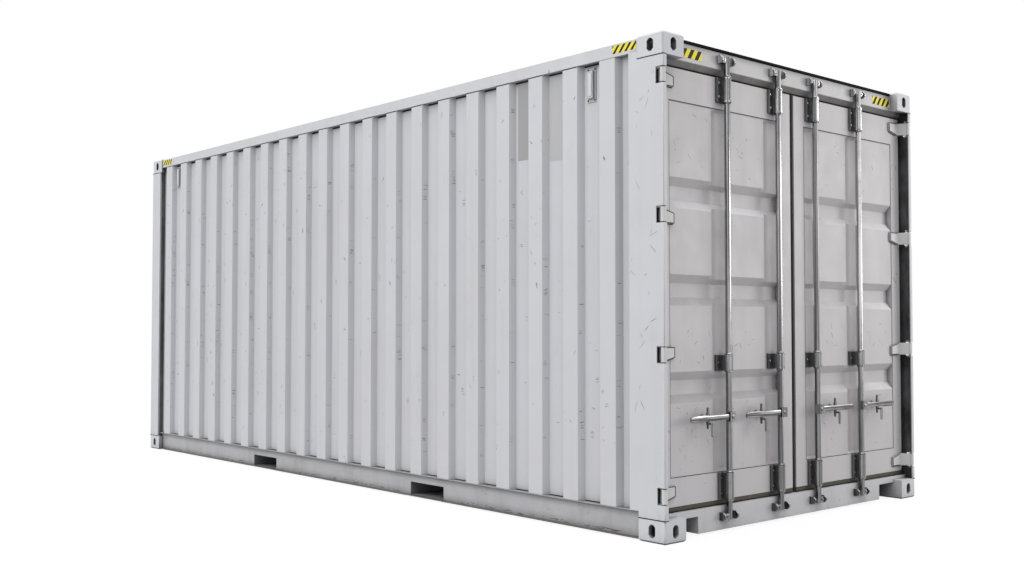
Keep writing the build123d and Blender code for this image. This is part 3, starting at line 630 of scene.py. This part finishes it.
def hazard_patch(shape, corner, along, up, bars, lean, dark_share):
    """A strip of slanted bars, dark and yellow by turns, each a thin plate."""
    corner = Vector(corner)
    along = Vector(along)
    up = Vector(up)
    lift = along.cross(up).normalized() * MARK_LIFT
    pitch = 1.0 / bars
    for n in range(-2, bars):
        for start, end, look in ((0.0, dark_share, 1), (dark_share, 1.0, 0)):
            near = (n + start) * pitch
            far = (n + end) * pitch
            bar = cut_square([(near, 0.0), (far, 0.0), (far + lean, 1.0), (near + lean, 1.0)], 0.0, 1.0)
            if len(bar) > 2:
                shape.prism([corner + along * run + up * rise for run, rise in bar], lift, look)


RAIL_MARK_LOW = 2.531
RAIL_MARK_RISE = (0.0, 0.0, 0.042)
RAIL_MARK_BARS = 4
HEADER_MARK_LOW = 2.499
HEADER_MARK_RISE = (0.0, 0.0, 0.049)
marks = Shape()
for sign in SIDES.values():
    for near, far in ((2.672, 2.840), (-2.831, -2.663)):
        corner = (near if sign < 0 else far, sign * RAIL_Y, RAIL_MARK_LOW)
        run = ((far - near) * -sign, 0.0, 0.0)
        hazard_patch(marks, corner, run, RAIL_MARK_RISE, RAIL_MARK_BARS, lean=0.21, dark_share=0.46)
for near, far, bars in ((-1.016, -0.840, 3), (0.856, 1.062, 4)):
    corner = (HEADER_X, near, HEADER_MARK_LOW)
    run = (0.0, far - near, 0.0)
    hazard_patch(marks, corner, run, HEADER_MARK_RISE, bars, lean=0.17, dark_share=0.5)
marks.make("hazard_marks", "shell", [yellow_mark, black_mark])

# A black strip along the top edge of the header
STRIP_HALF = 1.055
STRIP_BACK = HEADER_X - 0.030
STRIP_FRONT = HEADER_X + 0.006
STRIP_TOP = HEADER_TOP + 0.002
strip_section = (
    (STRIP_BACK, STRIP_TOP),
    (STRIP_FRONT, STRIP_TOP),
    (STRIP_FRONT, HEADER_TOP - 0.011),
    (HEADER_X, HEADER_TOP - 0.015),
    (HEADER_X, HEADER_TOP),
    (STRIP_BACK, HEADER_TOP),
)
strip = Shape()
strip.prism([(x, -STRIP_HALF, z) for x, z in strip_section], (0.0, 2 * STRIP_HALF, 0.0))
strip.make("header_top_strip", "shell", [top_strip_black])


# Guides and rods: bright sleeves over the straps, bolts in the plates, collars and cam bolts on the rods
def half_tube(shape, centre, inner, outer, low, top):
    """The front half of an upright tube."""
    steps = 14
    outline = []
    for radius, order in ((outer, range(steps + 1)), (inner, range(steps, -1, -1))):
        for n in order:
            angle = math.pi * (n / steps - 0.5)
            outline.append((centre[0] + radius * math.cos(angle), centre[1] + radius * math.sin(angle), low))
    shape.prism(outline, (0.0, 0.0, top - low))


# Lower end, upper end and seat of each guide
GUIDES = {
    "upper": (2.300, 2.435, DOOR_X),
    "middle": (0.854, 0.939, CHANNEL_X),
    "lower": (0.169, 0.312, DOOR_X),
}
SLEEVE_INNER = 0.0219
SLEEVE_OUTER = 0.0232
RIM_OUTER = 0.0250
RIM_HEIGHT = 0.009
ROD_LOW = 0.065
ROD_TOP = 2.545
CAM_HEIGHT = 0.034
CAM_FACE = ROD_X + 0.0095
CAM_BOLT_OFFSET = 0.029
CAM_BOLT = 0.0065
PLATE_BOLT_OFFSET = 0.034
PLATE_BOLT_MARGIN = 0.03
PLATE_BOLT = 0.0085
HUB_FACE = 3.0211
# Distance out from the rod and height of the points of a collar, and radius and height of a rivet's
COLLAR = (
    (0.0002, 0.0015), (0.0050, 0.0015), (0.0058, 0.0030),
    (0.0058, 0.0075), (0.0045, 0.0090), (0.0002, 0.0090),
)
RIVET = ((0.0105, 0.0), (0.0105, 0.0012), (0.0085, 0.0036), (0.0045, 0.0050), (0.0, 0.0053))
collar = [(ROD_RADIUS + out, rise) for out, rise in COLLAR]
bare = [materials["bare_steel"]]
for side, sign in SIDES.items():
    bolts = Shape()
    sleeves = Shape()
    for row, place in ROD_PLACES.items():
        y = sign * place
        for name, (low, top, seat) in GUIDES.items():
            face = seat + GUIDE_PLATE
            heights = [low + PLATE_BOLT_MARGIN, top - PLATE_BOLT_MARGIN]
            if name == "middle":
                heights = [(low + top) / 2]
            for z in heights:
                bolt(bolts, (face, y - PLATE_BOLT_OFFSET, z), OUTWARD_X, PLATE_BOLT)
            half_tube(sleeves, (ROD_X, y), SLEEVE_INNER, SLEEVE_OUTER, low, top)
            for rim in (low, top - RIM_HEIGHT):
                half_tube(sleeves, (ROD_X, y), SLEEVE_OUTER, RIM_OUTER, rim, rim + RIM_HEIGHT)
        fittings = Shape()
        for low, top, seat in GUIDES.values():
            for z, way in ((low, -1), (top, 1)):
                fittings.turned(collar, (ROD_X, y, z), (0, 0, way), 28, closed=True)
        for z in (ROD_TOP - CAM_HEIGHT / 2, ROD_LOW + CAM_HEIGHT / 2):
            bolt(fittings, (CAM_FACE, y + sign * CAM_BOLT_OFFSET, z), OUTWARD_X, CAM_BOLT)
        fittings.turned(RIVET, (HUB_FACE, y, HANDLE_Z), OUTWARD_X, 20)
        fittings.make(f"rod_fittings_{side}_{row}", f"rod_{side}_{row}", bare, True)
    bolts.make(f"guide_bolts_{side}", f"door_{side}", bare, True)
    sleeves.make(f"guide_sleeves_{side}", f"door_{side}", bare, True)


# Handles: a forged bar that swells into a rounded grip
def forged_bar(shape, stations, back, front, z):
    """A bar along the width whose rounded section changes from place to place."""
    around = 16
    fullness = 0.6
    rings = []
    for y, half_height, half_depth in sorted(stations, reverse=True):
        middle_x = front - half_depth
        ring = []
        for k in range(around):
            angle = 2 * math.pi * k / around
            bulge_x = math.copysign(abs(math.cos(angle)) ** fullness, math.cos(angle))
            bulge_z = math.copysign(abs(math.sin(angle)) ** fullness, math.sin(angle))
            ring.append((max(back, middle_x + half_depth * bulge_x), y, z + half_height * bulge_z))
        rings.append(ring)
    shape.rings(rings)


BAR_BACK = 3.0040
BAR_FRONT = 3.0160
# Distance from the rod, half the height and half the depth of the bar
BAR_STATIONS = (
    (-0.0140, 0.0080, 0.0030),
    (-0.0110, 0.0130, 0.0035),
    (0.0000, 0.0150, 0.0035),
    (0.1200, 0.0140, 0.0035),
    (0.1900, 0.0145, 0.0038),
    (0.2150, 0.0175, 0.0055),
    (0.2450, 0.0190, 0.0060),
    (0.3150, 0.0180, 0.0060),
    (0.3370, 0.0150, 0.0055),
    (0.3430, 0.0100, 0.0042),
    (0.3450, 0.0040, 0.0020),
)
for side, sign in SIDES.items():
    for row, place in ROD_PLACES.items():
        stations = [(sign * (place + along), tall, deep) for along, tall, deep in BAR_STATIONS]
        bar = Shape()
        forged_bar(bar, stations, BAR_BACK, BAR_FRONT, HANDLE_Z)
        piece = bar.make(
            f"forged_handle_{side}_{row}", f"handle_{side}_{row}", [forged_steel], True,
        )
        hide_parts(f"handle_{side}_{row}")


# Handle retainers: an arm from the panel, a pointed spindle behind the handle, a shelf and the catch's pin
RETAINER_OFFSET = 0.181
FOOT_HALF_WIDTH = 0.014
FOOT_HALF_HEIGHT = 0.020
FOOT_PLATE = (0.004, 0.0, 0.0)
FOOT_SIDES = 12
ARM_FRONT = 2.9900
ARM_HALF_WIDTH = 0.006
ARM_HALF_HEIGHT = 0.010
SPINDLE_BACK = 2.9880
SPINDLE_DEPTH = (0.0110, 0.0, 0.0)
SPINDLE_HALF = ((0.056, 0.0015), (0.046, 0.0050), (0.040, 0.0030), (0.024, 0.0085), (0.012, 0.0085))
SHELF_TOP = 0.586
SHELF_THICKNESS = 0.010
SHELF_FRONT = 3.0200
SHELF_HALF_WIDTH = 0.0075
CATCH_PIN = ((0.0050, 0.0), (0.0050, 0.0072), (0.0040, 0.0080), (0.0, 0.0082))
CATCH_PIN_FOOT = SHELF_FRONT - 0.0002
CATCH_PIN_Z = SHELF_TOP - 0.007
spindle_edge = list(SPINDLE_HALF) + [(-up, half) for up, half in SPINDLE_HALF[::-1]]
for side, sign in SIDES.items():
    casting = Shape()
    for place in ROD_PLACES.values():
        y = sign * (place + RETAINER_OFFSET)
        foot = []
        for n in range(FOOT_SIDES):
            angle = 2 * math.pi * n / FOOT_SIDES
            across = FOOT_HALF_WIDTH * math.cos(angle)
            foot.append((PANEL_X, y + across, HANDLE_Z + FOOT_HALF_HEIGHT * math.sin(angle)))
        casting.prism(foot, FOOT_PLATE)
        casting.box(
            (PANEL_X, y - ARM_HALF_WIDTH, HANDLE_Z - ARM_HALF_HEIGHT),
            (ARM_FRONT, y + ARM_HALF_WIDTH, HANDLE_Z + ARM_HALF_HEIGHT),
        )
        outline = [(SPINDLE_BACK, y + half, HANDLE_Z + up) for up, half in spindle_edge[::-1]]
        outline += [(SPINDLE_BACK, y - half, HANDLE_Z + up) for up, half in spindle_edge]
        casting.prism(outline, SPINDLE_DEPTH)
        casting.box(
            (SPINDLE_BACK, y - SHELF_HALF_WIDTH, SHELF_TOP - SHELF_THICKNESS),
            (SHELF_FRONT, y + SHELF_HALF_WIDTH, SHELF_TOP),
        )
        casting.turned(CATCH_PIN, (CATCH_PIN_FOOT, y, CATCH_PIN_Z), OUTWARD_X, 14)
    piece = casting.make(f"retainer_castings_{side}", f"door_{side}", [materials["dark_steel"]])
    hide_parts(f"handle_retainers_{side}")


# Seams and scratches: thin plates of paint, with dark seams round the door panels and painted shade round and
# under the hinge blades first
SEAM_LIFT = 0.0006
SCRATCH_LIFT = 0.0004
DARK = 0
FAINT = 1
mark_looks = [scuff_mark, faint_mark]


def seam(shape, start, end, width, normal):
    """A thin dark line between two points on a surface."""
    start = Vector(start)
    end = Vector(end)
    normal = Vector(normal)
    across = normal.cross(end - start).normalized() * (width / 2)
    shape.prism([start - across, end - across, end + across, start + across], normal * SEAM_LIFT)


def stroke(shape, middle, normal, angle, length, width, look):
    """A scratch that is pointed at both ends, on a surface that faces normal."""
    level = Vector((0, 0, 1)).cross(normal).normalized()
    along = level * math.cos(angle) + Vector((0, 0, 1)) * math.sin(angle)
    across = normal.cross(along) * (width / 2)
    bend = across * chance.uniform(-1.5, 1.5)
    outline = [
        middle - along * (length / 2),
        middle - along * (length * 0.2) + across + bend,
        middle + along * (length * 0.25) + across * 0.8 + bend,
        middle + along * (length / 2),
        middle + along * (length * 0.2) - across + bend,
        middle - along * (length * 0.25) - across * 0.7 + bend,
    ]
    shape.prism(outline[::-1], normal * SCRATCH_LIFT, look)


def chance_look(faint_share):
    """The faint look for this share of the marks, and the dark look for the others."""
    return FAINT if chance.random() < faint_share else DARK


BLADE_X = 2.967
BLADE_ROOT = 1.150
BLADE_TIP = 1.064
BLADE_HALF = 0.038
BLADE_SLANT = 0.019
BLADE_EDGE_SHADE = 0.0050
BLADE_LINE_INSET = 0.0030
BLADE_SHADOW = 0.0060
BLADE_SHADOW_DROP = 0.0025
LIP_BACK = 2.9450
LIP_TOP = DOOR_LOW - 0.0002
LIP_SECTION = ((LIP_BACK, 0.1430), (2.9520, 0.1425), (2.9536, 0.1480), (2.9528, LIP_TOP), (LIP_BACK, LIP_TOP))
for side, sign in SIDES.items():
    lines = Shape()
    outer = sign * PANEL_OUTER
    inner = sign * PANEL_INNER
    for z, width in ((PANEL_LOW, 0.0030), (PANEL_TOP, 0.0045)):
        seam(lines, (DOOR_X, outer, z), (DOOR_X, inner, z), width, OUTWARD_X)
    for y, width in ((outer, 0.0018), (inner, 0.0020)):
        seam(lines, (DOOR_X, y, PANEL_LOW), (DOOR_X, y, PANEL_TOP), width, OUTWARD_X)
    for n, z in enumerate(HINGE_HEIGHTS):
        upper_half = n >= len(HINGE_HEIGHTS) / 2
        slant_top = BLADE_SLANT if upper_half == (sign < 0) else 0.0
        slant_low = BLADE_SLANT - slant_top
        root = sign * BLADE_ROOT
        tip = sign * BLADE_TIP
        blade_top = z + BLADE_HALF - BLADE_LINE_INSET
        blade_low = z - BLADE_HALF + BLADE_LINE_INSET
        line_tip = tip + sign * BLADE_LINE_INSET
        # Painted shade round the edges of the blade's front face, and a painted shadow under the blade
        corners = [
            (BLADE_X, root, blade_top),
            (BLADE_X, line_tip, blade_top - slant_top),
            (BLADE_X, line_tip, blade_low + slant_low),
            (BLADE_X, root, blade_low),
        ]
        for first, second in zip(corners, corners[1:]):
            seam(lines, first, second, BLADE_EDGE_SHADE, OUTWARD_X)
        under = z - BLADE_HALF - BLADE_SHADOW_DROP
        seam(lines, (DOOR_X, root, under), (DOOR_X, tip, under + slant_low), BLADE_SHADOW, OUTWARD_X)
    lines.make(f"door_seams_{side}", f"door_{side}", [door_line_and_shadow])
    lip = Shape()
    section = [(x, sign * DOOR_MIDDLE, z) for x, z in LIP_SECTION]
    lip.prism(section if sign < 0 else section[::-1], (0.0, sign * (DOOR_EDGE - DOOR_MIDDLE), 0.0))
    lip.make(f"gasket_lip_{side}", f"door_{side}", [gasket_lip])

# Dark lines where the fittings meet the posts and the folds of the walls meet the rails, and a painted shadow
# under the top rail at the top of each valley
FRONTWARD_X = (-1, 0, 0)
VALLEY_SHADE = 0.016
VALLEY_SHADE_LOSS = 0.007
SIDE_LINE = 0.0055
END_LINE = 0.0040
WALL_FOOT_LINE = 0.006
WALL_TOP_LINE = 0.005
joints_and_shadows = Shape()
for sign in SIDES.values():
    outward_y = (0, sign, 0)
    y = sign * SIDE_Y
    for z in (FITTING_LOW, FITTING_TOP):
        seam(joints_and_shadows, (FITTING_BACK_X, y, z), (END_X, y, z), SIDE_LINE, outward_y)
        seam(joints_and_shadows, (-END_X, y, z), (FRONT_POST_BACK_X, y, z), SIDE_LINE, outward_y)
        seam(joints_and_shadows, (END_X, sign * DOOR_POST_INNER_Y, z), (END_X, y, z), END_LINE, OUTWARD_X)
        seam(joints_and_shadows, (-END_X, sign * FRONT_POST_INNER_Y, z), (-END_X, y, z), END_LINE, FRONTWARD_X)
for n in range(WALL_COUNT - 1):
    edge = WALL_FIRST_EDGE + WALL_PITCH * n
    near = edge + WALL_FLAT + WALL_SLOPE
    far = edge + WALL_PITCH - WALL_SLOPE
    for sign in SIDES.values():
        outward_y = (0, sign, 0)
        # Painted shadow of the top rail: a dark strip at the top of each valley, narrower towards the door
        # end
        shade = VALLEY_SHADE - VALLEY_SHADE_LOSS * n / WALL_COUNT
        for z, width in ((WALL_TOP - shade / 2, shade), (WALL_LOW + WALL_FOOT_LINE / 2, WALL_FOOT_LINE)):
            seam(joints_and_shadows, (near, sign * VALLEY_Y, z), (far, sign * VALLEY_Y, z), width, outward_y)
        z = WALL_TOP - WALL_TOP_LINE / 2
        y = sign * WALL_Y
        seam(joints_and_shadows, (edge, y, z), (edge + WALL_FLAT, y, z), WALL_TOP_LINE, outward_y)
joints_and_shadows.make("joint_and_shadow_lines", "shell", [dark_seam_and_shadow])

# Chips along the bottom side rails, clear of the fork pockets
RAIL_RUNS = ((-2.84, -1.21), (-0.84, 0.84), (1.21, 2.84))
RUN_MARGIN = 0.05
FLANGE_LINE = 0.0048
FLANGE_MIDDLE = RAIL_FOOT + RAIL_PLATE / 2
FOOT_CHIPS_PER_METRE = 30
WEB_CHIPS_PER_METRE = 12


def web_spot(near, far, sign, low, high):
    """A chance place on the outer face of a bottom rail's web."""
    x = chance.uniform(near + RUN_MARGIN, far - RUN_MARGIN)
    return Vector((x, sign * WEB_Y, chance.uniform(low, high)))


chips = Shape()
for sign in SIDES.values():
    outward_y = Vector((0, sign, 0))
    y = sign * RAIL_Y
    for near, far in RAIL_RUNS:
        seam(chips, (near, y, FLANGE_MIDDLE), (far, y, FLANGE_MIDDLE), FLANGE_LINE, outward_y)
        for n in range(int((far - near) * FOOT_CHIPS_PER_METRE)):
            middle = web_spot(near, far, sign, 0.015, 0.027)
            length = chance.uniform(0.006, 0.02) + 0.08 * chance.random() ** 3
            angle = chance.gauss(0.0, 0.1)
            stroke(chips, middle, outward_y, angle, length, chance.uniform(0.002, 0.005), DARK)
        for n in range(int((far - near) * WEB_CHIPS_PER_METRE)):
            middle = web_spot(near, far, sign, 0.020, 0.13)
            angle = chance.gauss(0.0, 0.5)
            stroke(chips, middle, outward_y, angle, chance.uniform(0.008, 0.04), 0.003, FAINT)
chips.make("rail_chips", "shell", mark_looks)

# Weld beads where the walls meet the posts, and the header and the sill meet the fittings
WELD = 0.004
WELD_STEP = 0.014
END_WELD = 0.0045
welds = Shape()
for sign in SIDES.values():
    for x in (WALL_DOOR_END, WALL_FRONT_END):
        welds.bead((x, sign * VALLEY_Y, WALL_LOW), (x, sign * VALLEY_Y, WALL_TOP), WELD, WELD_STEP)
    y = sign * FITTING_INNER_Y
    for low, top, step in ((2.476, 2.580, 0.008), (0.104, 0.117, 0.006)):
        welds.bead((HEADER_X, y, low), (HEADER_X, y, top), END_WELD, step)
    y = sign * FRONT_POST_INNER_Y
    welds.bead((FRONT_WELD_X, y, FITTING_LOW), (FRONT_WELD_X, y, FITTING_TOP), WELD, WELD_STEP)
welds.make("weld_beads", "shell", [weld_paint], True)


# Side walls: scuffs, scratches and two repainted places
def wall_spot(x, sign):
    """Place on the outer face of a side wall and the direction that it faces there."""
    depth = WALL_Y - VALLEY_Y
    along = (x - WALL_FIRST_EDGE) % WALL_PITCH
    if along < WALL_FLAT:
        return WALL_Y * sign, Vector((0, sign, 0))
    if along < WALL_FLAT + WALL_SLOPE:
        share = (along - WALL_FLAT) / WALL_SLOPE
        return (WALL_Y - share * depth) * sign, Vector((depth, sign * WALL_SLOPE, 0)).normalized()
    if along < WALL_PITCH - WALL_SLOPE:
        return VALLEY_Y * sign, Vector((0, sign, 0))
    share = (WALL_PITCH - along) / WALL_SLOPE
    return (WALL_Y - share * depth) * sign, Vector((-depth, sign * WALL_SLOPE, 0)).normalized()


VALLEY_FLAT = WALL_PITCH - WALL_FLAT - 2 * WALL_SLOPE
SCUFF_END = 2.77
SCUFF_LOW = 0.25
SCUFF_TOP = 2.42


def wall_scuffs(name, sign, clusters):
    """Groups of short scuffs, most of them on the slopes of the folds."""
    shape = Shape()
    for n in range(clusters):
        fold = chance.randrange(WALL_COUNT)
        kind = chance.random()
        if kind < 0.55:
            along = WALL_FLAT + WALL_SLOPE * chance.uniform(0.3, 0.7)
            reach = 0.030
            angle = chance.gauss(0.0, 0.15)
        elif kind < 0.8:
            along = WALL_FLAT * chance.uniform(0.15, 0.85)
            reach = 0.030
            angle = chance.choice((-1, 1)) * chance.uniform(0.3, 1.2)
        else:
            along = WALL_FLAT + WALL_SLOPE + VALLEY_FLAT * chance.uniform(0.2, 0.8)
            reach = 0.034
            angle = chance.gauss(0.0, 0.6)
        x = WALL_FIRST_EDGE + WALL_PITCH * fold + along
        if x > SCUFF_END:
            continue
        z = chance.uniform(SCUFF_LOW, SCUFF_TOP)
        y, normal = wall_spot(x, sign)
        look = chance_look(0.55)
        for k in range(chance.choice((1, 1, 2, 3))):
            middle = Vector((x, y, z + k * chance.uniform(0.006, 0.016)))
            length = reach * chance.uniform(0.5, 1.1)
            stroke(shape, middle, normal, angle, length, chance.uniform(0.0016, 0.0042), look)
    shape.make(name, "shell", mark_looks)


wall_scuffs("side_scuffs_left", -1, 340)
wall_scuffs("side_scuffs_right", 1, 260)

PATCH_TOP = WALL_TOP - 0.001
PATCH_LIFT = 0.0001
PATCH_FILM = 0.0004
patches = Shape()
for near, far, low, look in ((1.886, 1.982, 2.052, 0), (2.152, 2.263, 2.020, 1)):
    for sign in SIDES.values():
        y = sign * (VALLEY_Y + PATCH_LIFT)
        outline = [(near, y, low), (far, y, low), (far, y, PATCH_TOP), (near, y, PATCH_TOP)]
        patches.prism(outline if sign < 0 else outline[::-1], (0, sign * PATCH_FILM, 0), look)
patches.make("repainted_places", "shell", [repaint, repaint_pale])

# Scratches on the posts and on the doors
POST_MARKS = 46
POST_SCRATCH = 0.0022
POST_MARK_X = (2.81, 2.965)
POST_MARK_Z = (0.15, 2.44)
DOOR_MARKS = 90
DOOR_SCRATCH = 0.0024
STILE_MARK_Z = (0.32, 2.28)
PANEL_MARGIN = 0.03
STILE_MARGIN = 0.01
CHANNEL_REACH = 0.085
HINGE_REACH = 0.06
# Heights between which the door panels have no groove
PANEL_FLATS = ((1.90, 2.24), (0.33, 0.68), (0.88, 1.15))
post_marks = Shape()
for n in range(POST_MARKS):
    sign = chance.choice((-1, 1))
    middle = Vector((chance.uniform(*POST_MARK_X), sign * SIDE_Y, chance.uniform(*POST_MARK_Z)))
    look = chance_look(0.6)
    angle = chance.uniform(0.2, 2.6)
    length = chance.uniform(0.012, 0.07)
    stroke(post_marks, middle, Vector((0, sign, 0)), angle, length, POST_SCRATCH, look)
post_marks.make("post_scratches", "shell", mark_looks)
for side, sign in SIDES.items():
    door_marks = Shape()
    for n in range(DOOR_MARKS):
        if chance.random() < 0.75:
            x = PANEL_X
            y = chance.uniform(PANEL_INNER + PANEL_MARGIN, PANEL_OUTER - PANEL_MARGIN)
            z = chance.choice([chance.uniform(low, high) for low, high in PANEL_FLATS])
            channels = [place - CHANNEL_SHIFT * sign for place in ROD_PLACES.values()]
            if any(abs(y - channel) < CHANNEL_REACH for channel in channels):
                continue
        else:
            x = DOOR_X
            y = chance.uniform(PANEL_OUTER + STILE_MARGIN, DOOR_EDGE - STILE_MARGIN)
            z = chance.uniform(*STILE_MARK_Z)
            if any(abs(z - middle) < HINGE_REACH for middle in HINGE_HEIGHTS):
                continue
        middle = Vector((x, sign * y, z))
        look = chance_look(0.6)
        length = chance.uniform(0.008, 0.045)
        angle = chance.uniform(0.0, 3.1)
        stroke(door_marks, middle, Vector(OUTWARD_X), angle, length, DOOR_SCRATCH, look)
    door_marks.make(f"door_scratches_{side}", f"door_{side}", mark_looks)

# Closing plates over the lower front corner fittings, between the front post and the front rail
CLOSER_TOP = WALL_LOW + 0.0005
closers = Shape()
for sign in SIDES.values():
    low_y, high_y = sorted((sign * FITTING_INNER_Y, sign * FRONT_POST_INNER_Y))
    closers.box((FRONT_WALL_X, low_y, FITTING_LOW), (FRONT_WELD_X, high_y, CLOSER_TOP))
closers.make("corner_closers", "shell", [materials["shell_paint"]])

# Ventilators: a pale raised cover on each hood and four screws in each plate
VENT_MIDDLE = 2.401
VENT_PLATE_Y = VALLEY_Y + 0.004
VENT_HOOD_Y = VALLEY_Y + 0.018
COVER_HALF_WIDTH = 0.013
COVER_HALF_HEIGHT = 0.062
COVER_RISE = 0.0025
SCREW = ((0.0055, 0.0), (0.0050, 0.0016), (0.0030, 0.0026), (0.0, 0.0028))
SCREW_ACROSS = 0.025
SCREW_UP = 0.084
vents = Shape()
vent_first = WALL_FIRST_EDGE + (WALL_PITCH + WALL_FLAT) / 2
for sign in SIDES.values():
    for x in (vent_first, vent_first + WALL_PITCH * (WALL_COUNT - 2)):
        outline = []
        for across, up in ((-1, -1), (1, -1), (1, 1), (-1, 1)):
            z = VENT_MIDDLE + up * COVER_HALF_HEIGHT
            outline.append((x + across * COVER_HALF_WIDTH, sign * VENT_HOOD_Y, z))
        vents.prism(outline if sign < 0 else outline[::-1], (0, sign * COVER_RISE, 0), 0)
        for across in (-SCREW_ACROSS, SCREW_ACROSS):
            for up in (-SCREW_UP, SCREW_UP):
                foot = (x + across, sign * VENT_PLATE_Y, VENT_MIDDLE + up)
                vents.turned(SCREW, foot, (0, sign, 0), 12, 1)
vents.make("ventilator_covers", "shell", [vent_face, dark_seam_and_shadow])

# Floor, backdrop and light
FLOOR_HALF = 60.0
floor_corners = [(FLOOR_HALF * x, FLOOR_HALF * y, 0.0) for x, y in ((-1, -1), (1, -1), (1, 1), (-1, 1))]
stage_mesh = bpy.data.meshes.new("floor_plane")
stage_mesh.from_pydata(floor_corners, [], [[0, 1, 2, 3]])
stage_floor = bpy.data.objects.new("floor_plane", stage_mesh)
bpy.context.scene.collection.objects.link(stage_floor)
stage_floor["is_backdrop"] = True


def seen_directly(tree):
    """1 for rays from the camera, from a shiny surface or through glass, and 0 for light on the object."""
    path = tree.nodes.new("ShaderNodeLightPath")
    value = path.outputs["Is Camera Ray"]
    for name in ("Is Glossy Ray", "Is Transmission Ray"):
        made = tree.nodes.new("ShaderNodeMath")
        made.operation = "MAXIMUM"
        tree.links.new(value, made.inputs[0])
        tree.links.new(path.outputs[name], made.inputs[1])
        value = made.outputs["Value"]
    return value


def shine(tree, kind, colour, strength):
    """A node that shines evenly."""
    made = tree.nodes.new(kind)
    made.inputs["Color"].default_value = (*colour, 1.0)
    made.inputs["Strength"].default_value = strength
    return made.outputs[0]


def blend(tree, factor, first, second, output_kind):
    """Make a blend of two shaders the output of a tree."""
    made = tree.nodes.new("ShaderNodeMixShader")
    for value, socket in zip((factor, first, second), made.inputs):
        tree.links.new(value, socket)
    output = tree.nodes.new(output_kind)
    tree.links.new(made.outputs["Shader"], output.inputs["Surface"])


# The floor is white where it is seen, keeps a part of the shadow, and throws less light back on the object
FLOOR_GREY = 0.40
FLOOR_WHITE = 0.97
SHADOW_SHARE = 0.12
floor_material = bpy.data.materials.new("pale_floor")
floor_material.use_nodes = True
tree = floor_material.node_tree
tree.nodes.clear()
plain = tree.nodes.new("ShaderNodeBsdfDiffuse")
tone = tree.nodes.new("ShaderNodeMapRange")
tone.inputs["To Min"].default_value = FLOOR_GREY
tone.inputs["To Max"].default_value = FLOOR_WHITE
tree.links.new(seen_directly(tree), tone.inputs["Value"])
tree.links.new(tone.outputs["Result"], plain.inputs["Color"])
white = shine(tree, "ShaderNodeEmission", (1.0, 1.0, 1.0), 1.0)
share = tree.nodes.new("ShaderNodeMath")
share.operation = "MULTIPLY"
share.inputs[1].default_value = 1.0 - SHADOW_SHARE
tree.links.new(seen_directly(tree), share.inputs[0])
blend(tree, share.outputs["Value"], plain.outputs["BSDF"], white, "ShaderNodeOutputMaterial")
stage_mesh.materials.append(floor_material)

world = bpy.data.worlds.new("studio")
bpy.context.scene.world = world
world.use_nodes = True
tree = world.node_tree
tree.nodes.clear()
room = shine(tree, "ShaderNodeBackground", (0.96, 0.98, 1.0), 0.5)
backdrop = shine(tree, "ShaderNodeBackground", (1.0, 1.0, 1.0), 1.0)
blend(tree, seen_directly(tree), room, backdrop, "ShaderNodeOutputWorld")


def soft_lamp(name, towards_lamp, strength, spread, colour):
    """A broad distant lamp, like a large softbox."""
    lamp = bpy.data.lights.new(name, "SUN")
    lamp.energy = strength
    lamp.angle = math.radians(spread)
    lamp.color = colour
    holder = bpy.data.objects.new(name, lamp)
    holder.rotation_euler = Vector(towards_lamp).to_track_quat("Z", "Y").to_euler()
    bpy.context.scene.collection.objects.link(holder)


soft_lamp("left_softbox", (-0.50, -0.78, 0.46), 1.30, 44, (1.0, 0.995, 0.98))
soft_lamp("top_softbox", (0.22, -0.16, 1.0), 2.10, 60, (1.0, 1.0, 1.0))

# A panel lamp on the right, near enough for the door leaves to differ
PANEL_LAMP_WIDTH = 3.0
PANEL_LAMP_HEIGHT = 2.4
PANEL_LAMP_POWER = 135.0
PANEL_LAMP_PLACE = (7.4, 5.4, 2.4)
PANEL_LAMP_AIM = (2.95, 0.3, 1.3)
panel = bpy.data.lights.new("right_softbox", "AREA")
panel.shape = "RECTANGLE"
panel.size = PANEL_LAMP_WIDTH
panel.size_y = PANEL_LAMP_HEIGHT
panel.energy = PANEL_LAMP_POWER
panel.color = (1.0, 0.97, 0.94)
panel_holder = bpy.data.objects.new("right_softbox", panel)
panel_holder.location = PANEL_LAMP_PLACE
aim = Vector(PANEL_LAMP_PLACE) - Vector(PANEL_LAMP_AIM)
panel_holder.rotation_euler = aim.to_track_quat("Z", "Y").to_euler()
panel_holder.visible_camera = False
bpy.context.scene.collection.objects.link(panel_holder)

# Camera at the photograph's place
VIEW_PLACE = (6.7296, -5.5244, 1.0900)
VIEW_LENS = 39.466
VIEW_RISE = math.radians(1.97065)
VIEW_TURN = math.radians(48.404)
view = bpy.data.cameras.new("photo_view")
view.sensor_width = 36.0
view.lens = VIEW_LENS
view.clip_end = 300.0
camera = bpy.data.objects.new("photo_view", view)
camera.location = VIEW_PLACE
camera.rotation_euler = (math.radians(90) + VIEW_RISE, 0.0, VIEW_TURN)
bpy.context.scene.collection.objects.link(camera)
bpy.context.scene.camera = camera

bpy.context.scene.view_settings.view_transform = "Standard"

low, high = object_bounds()
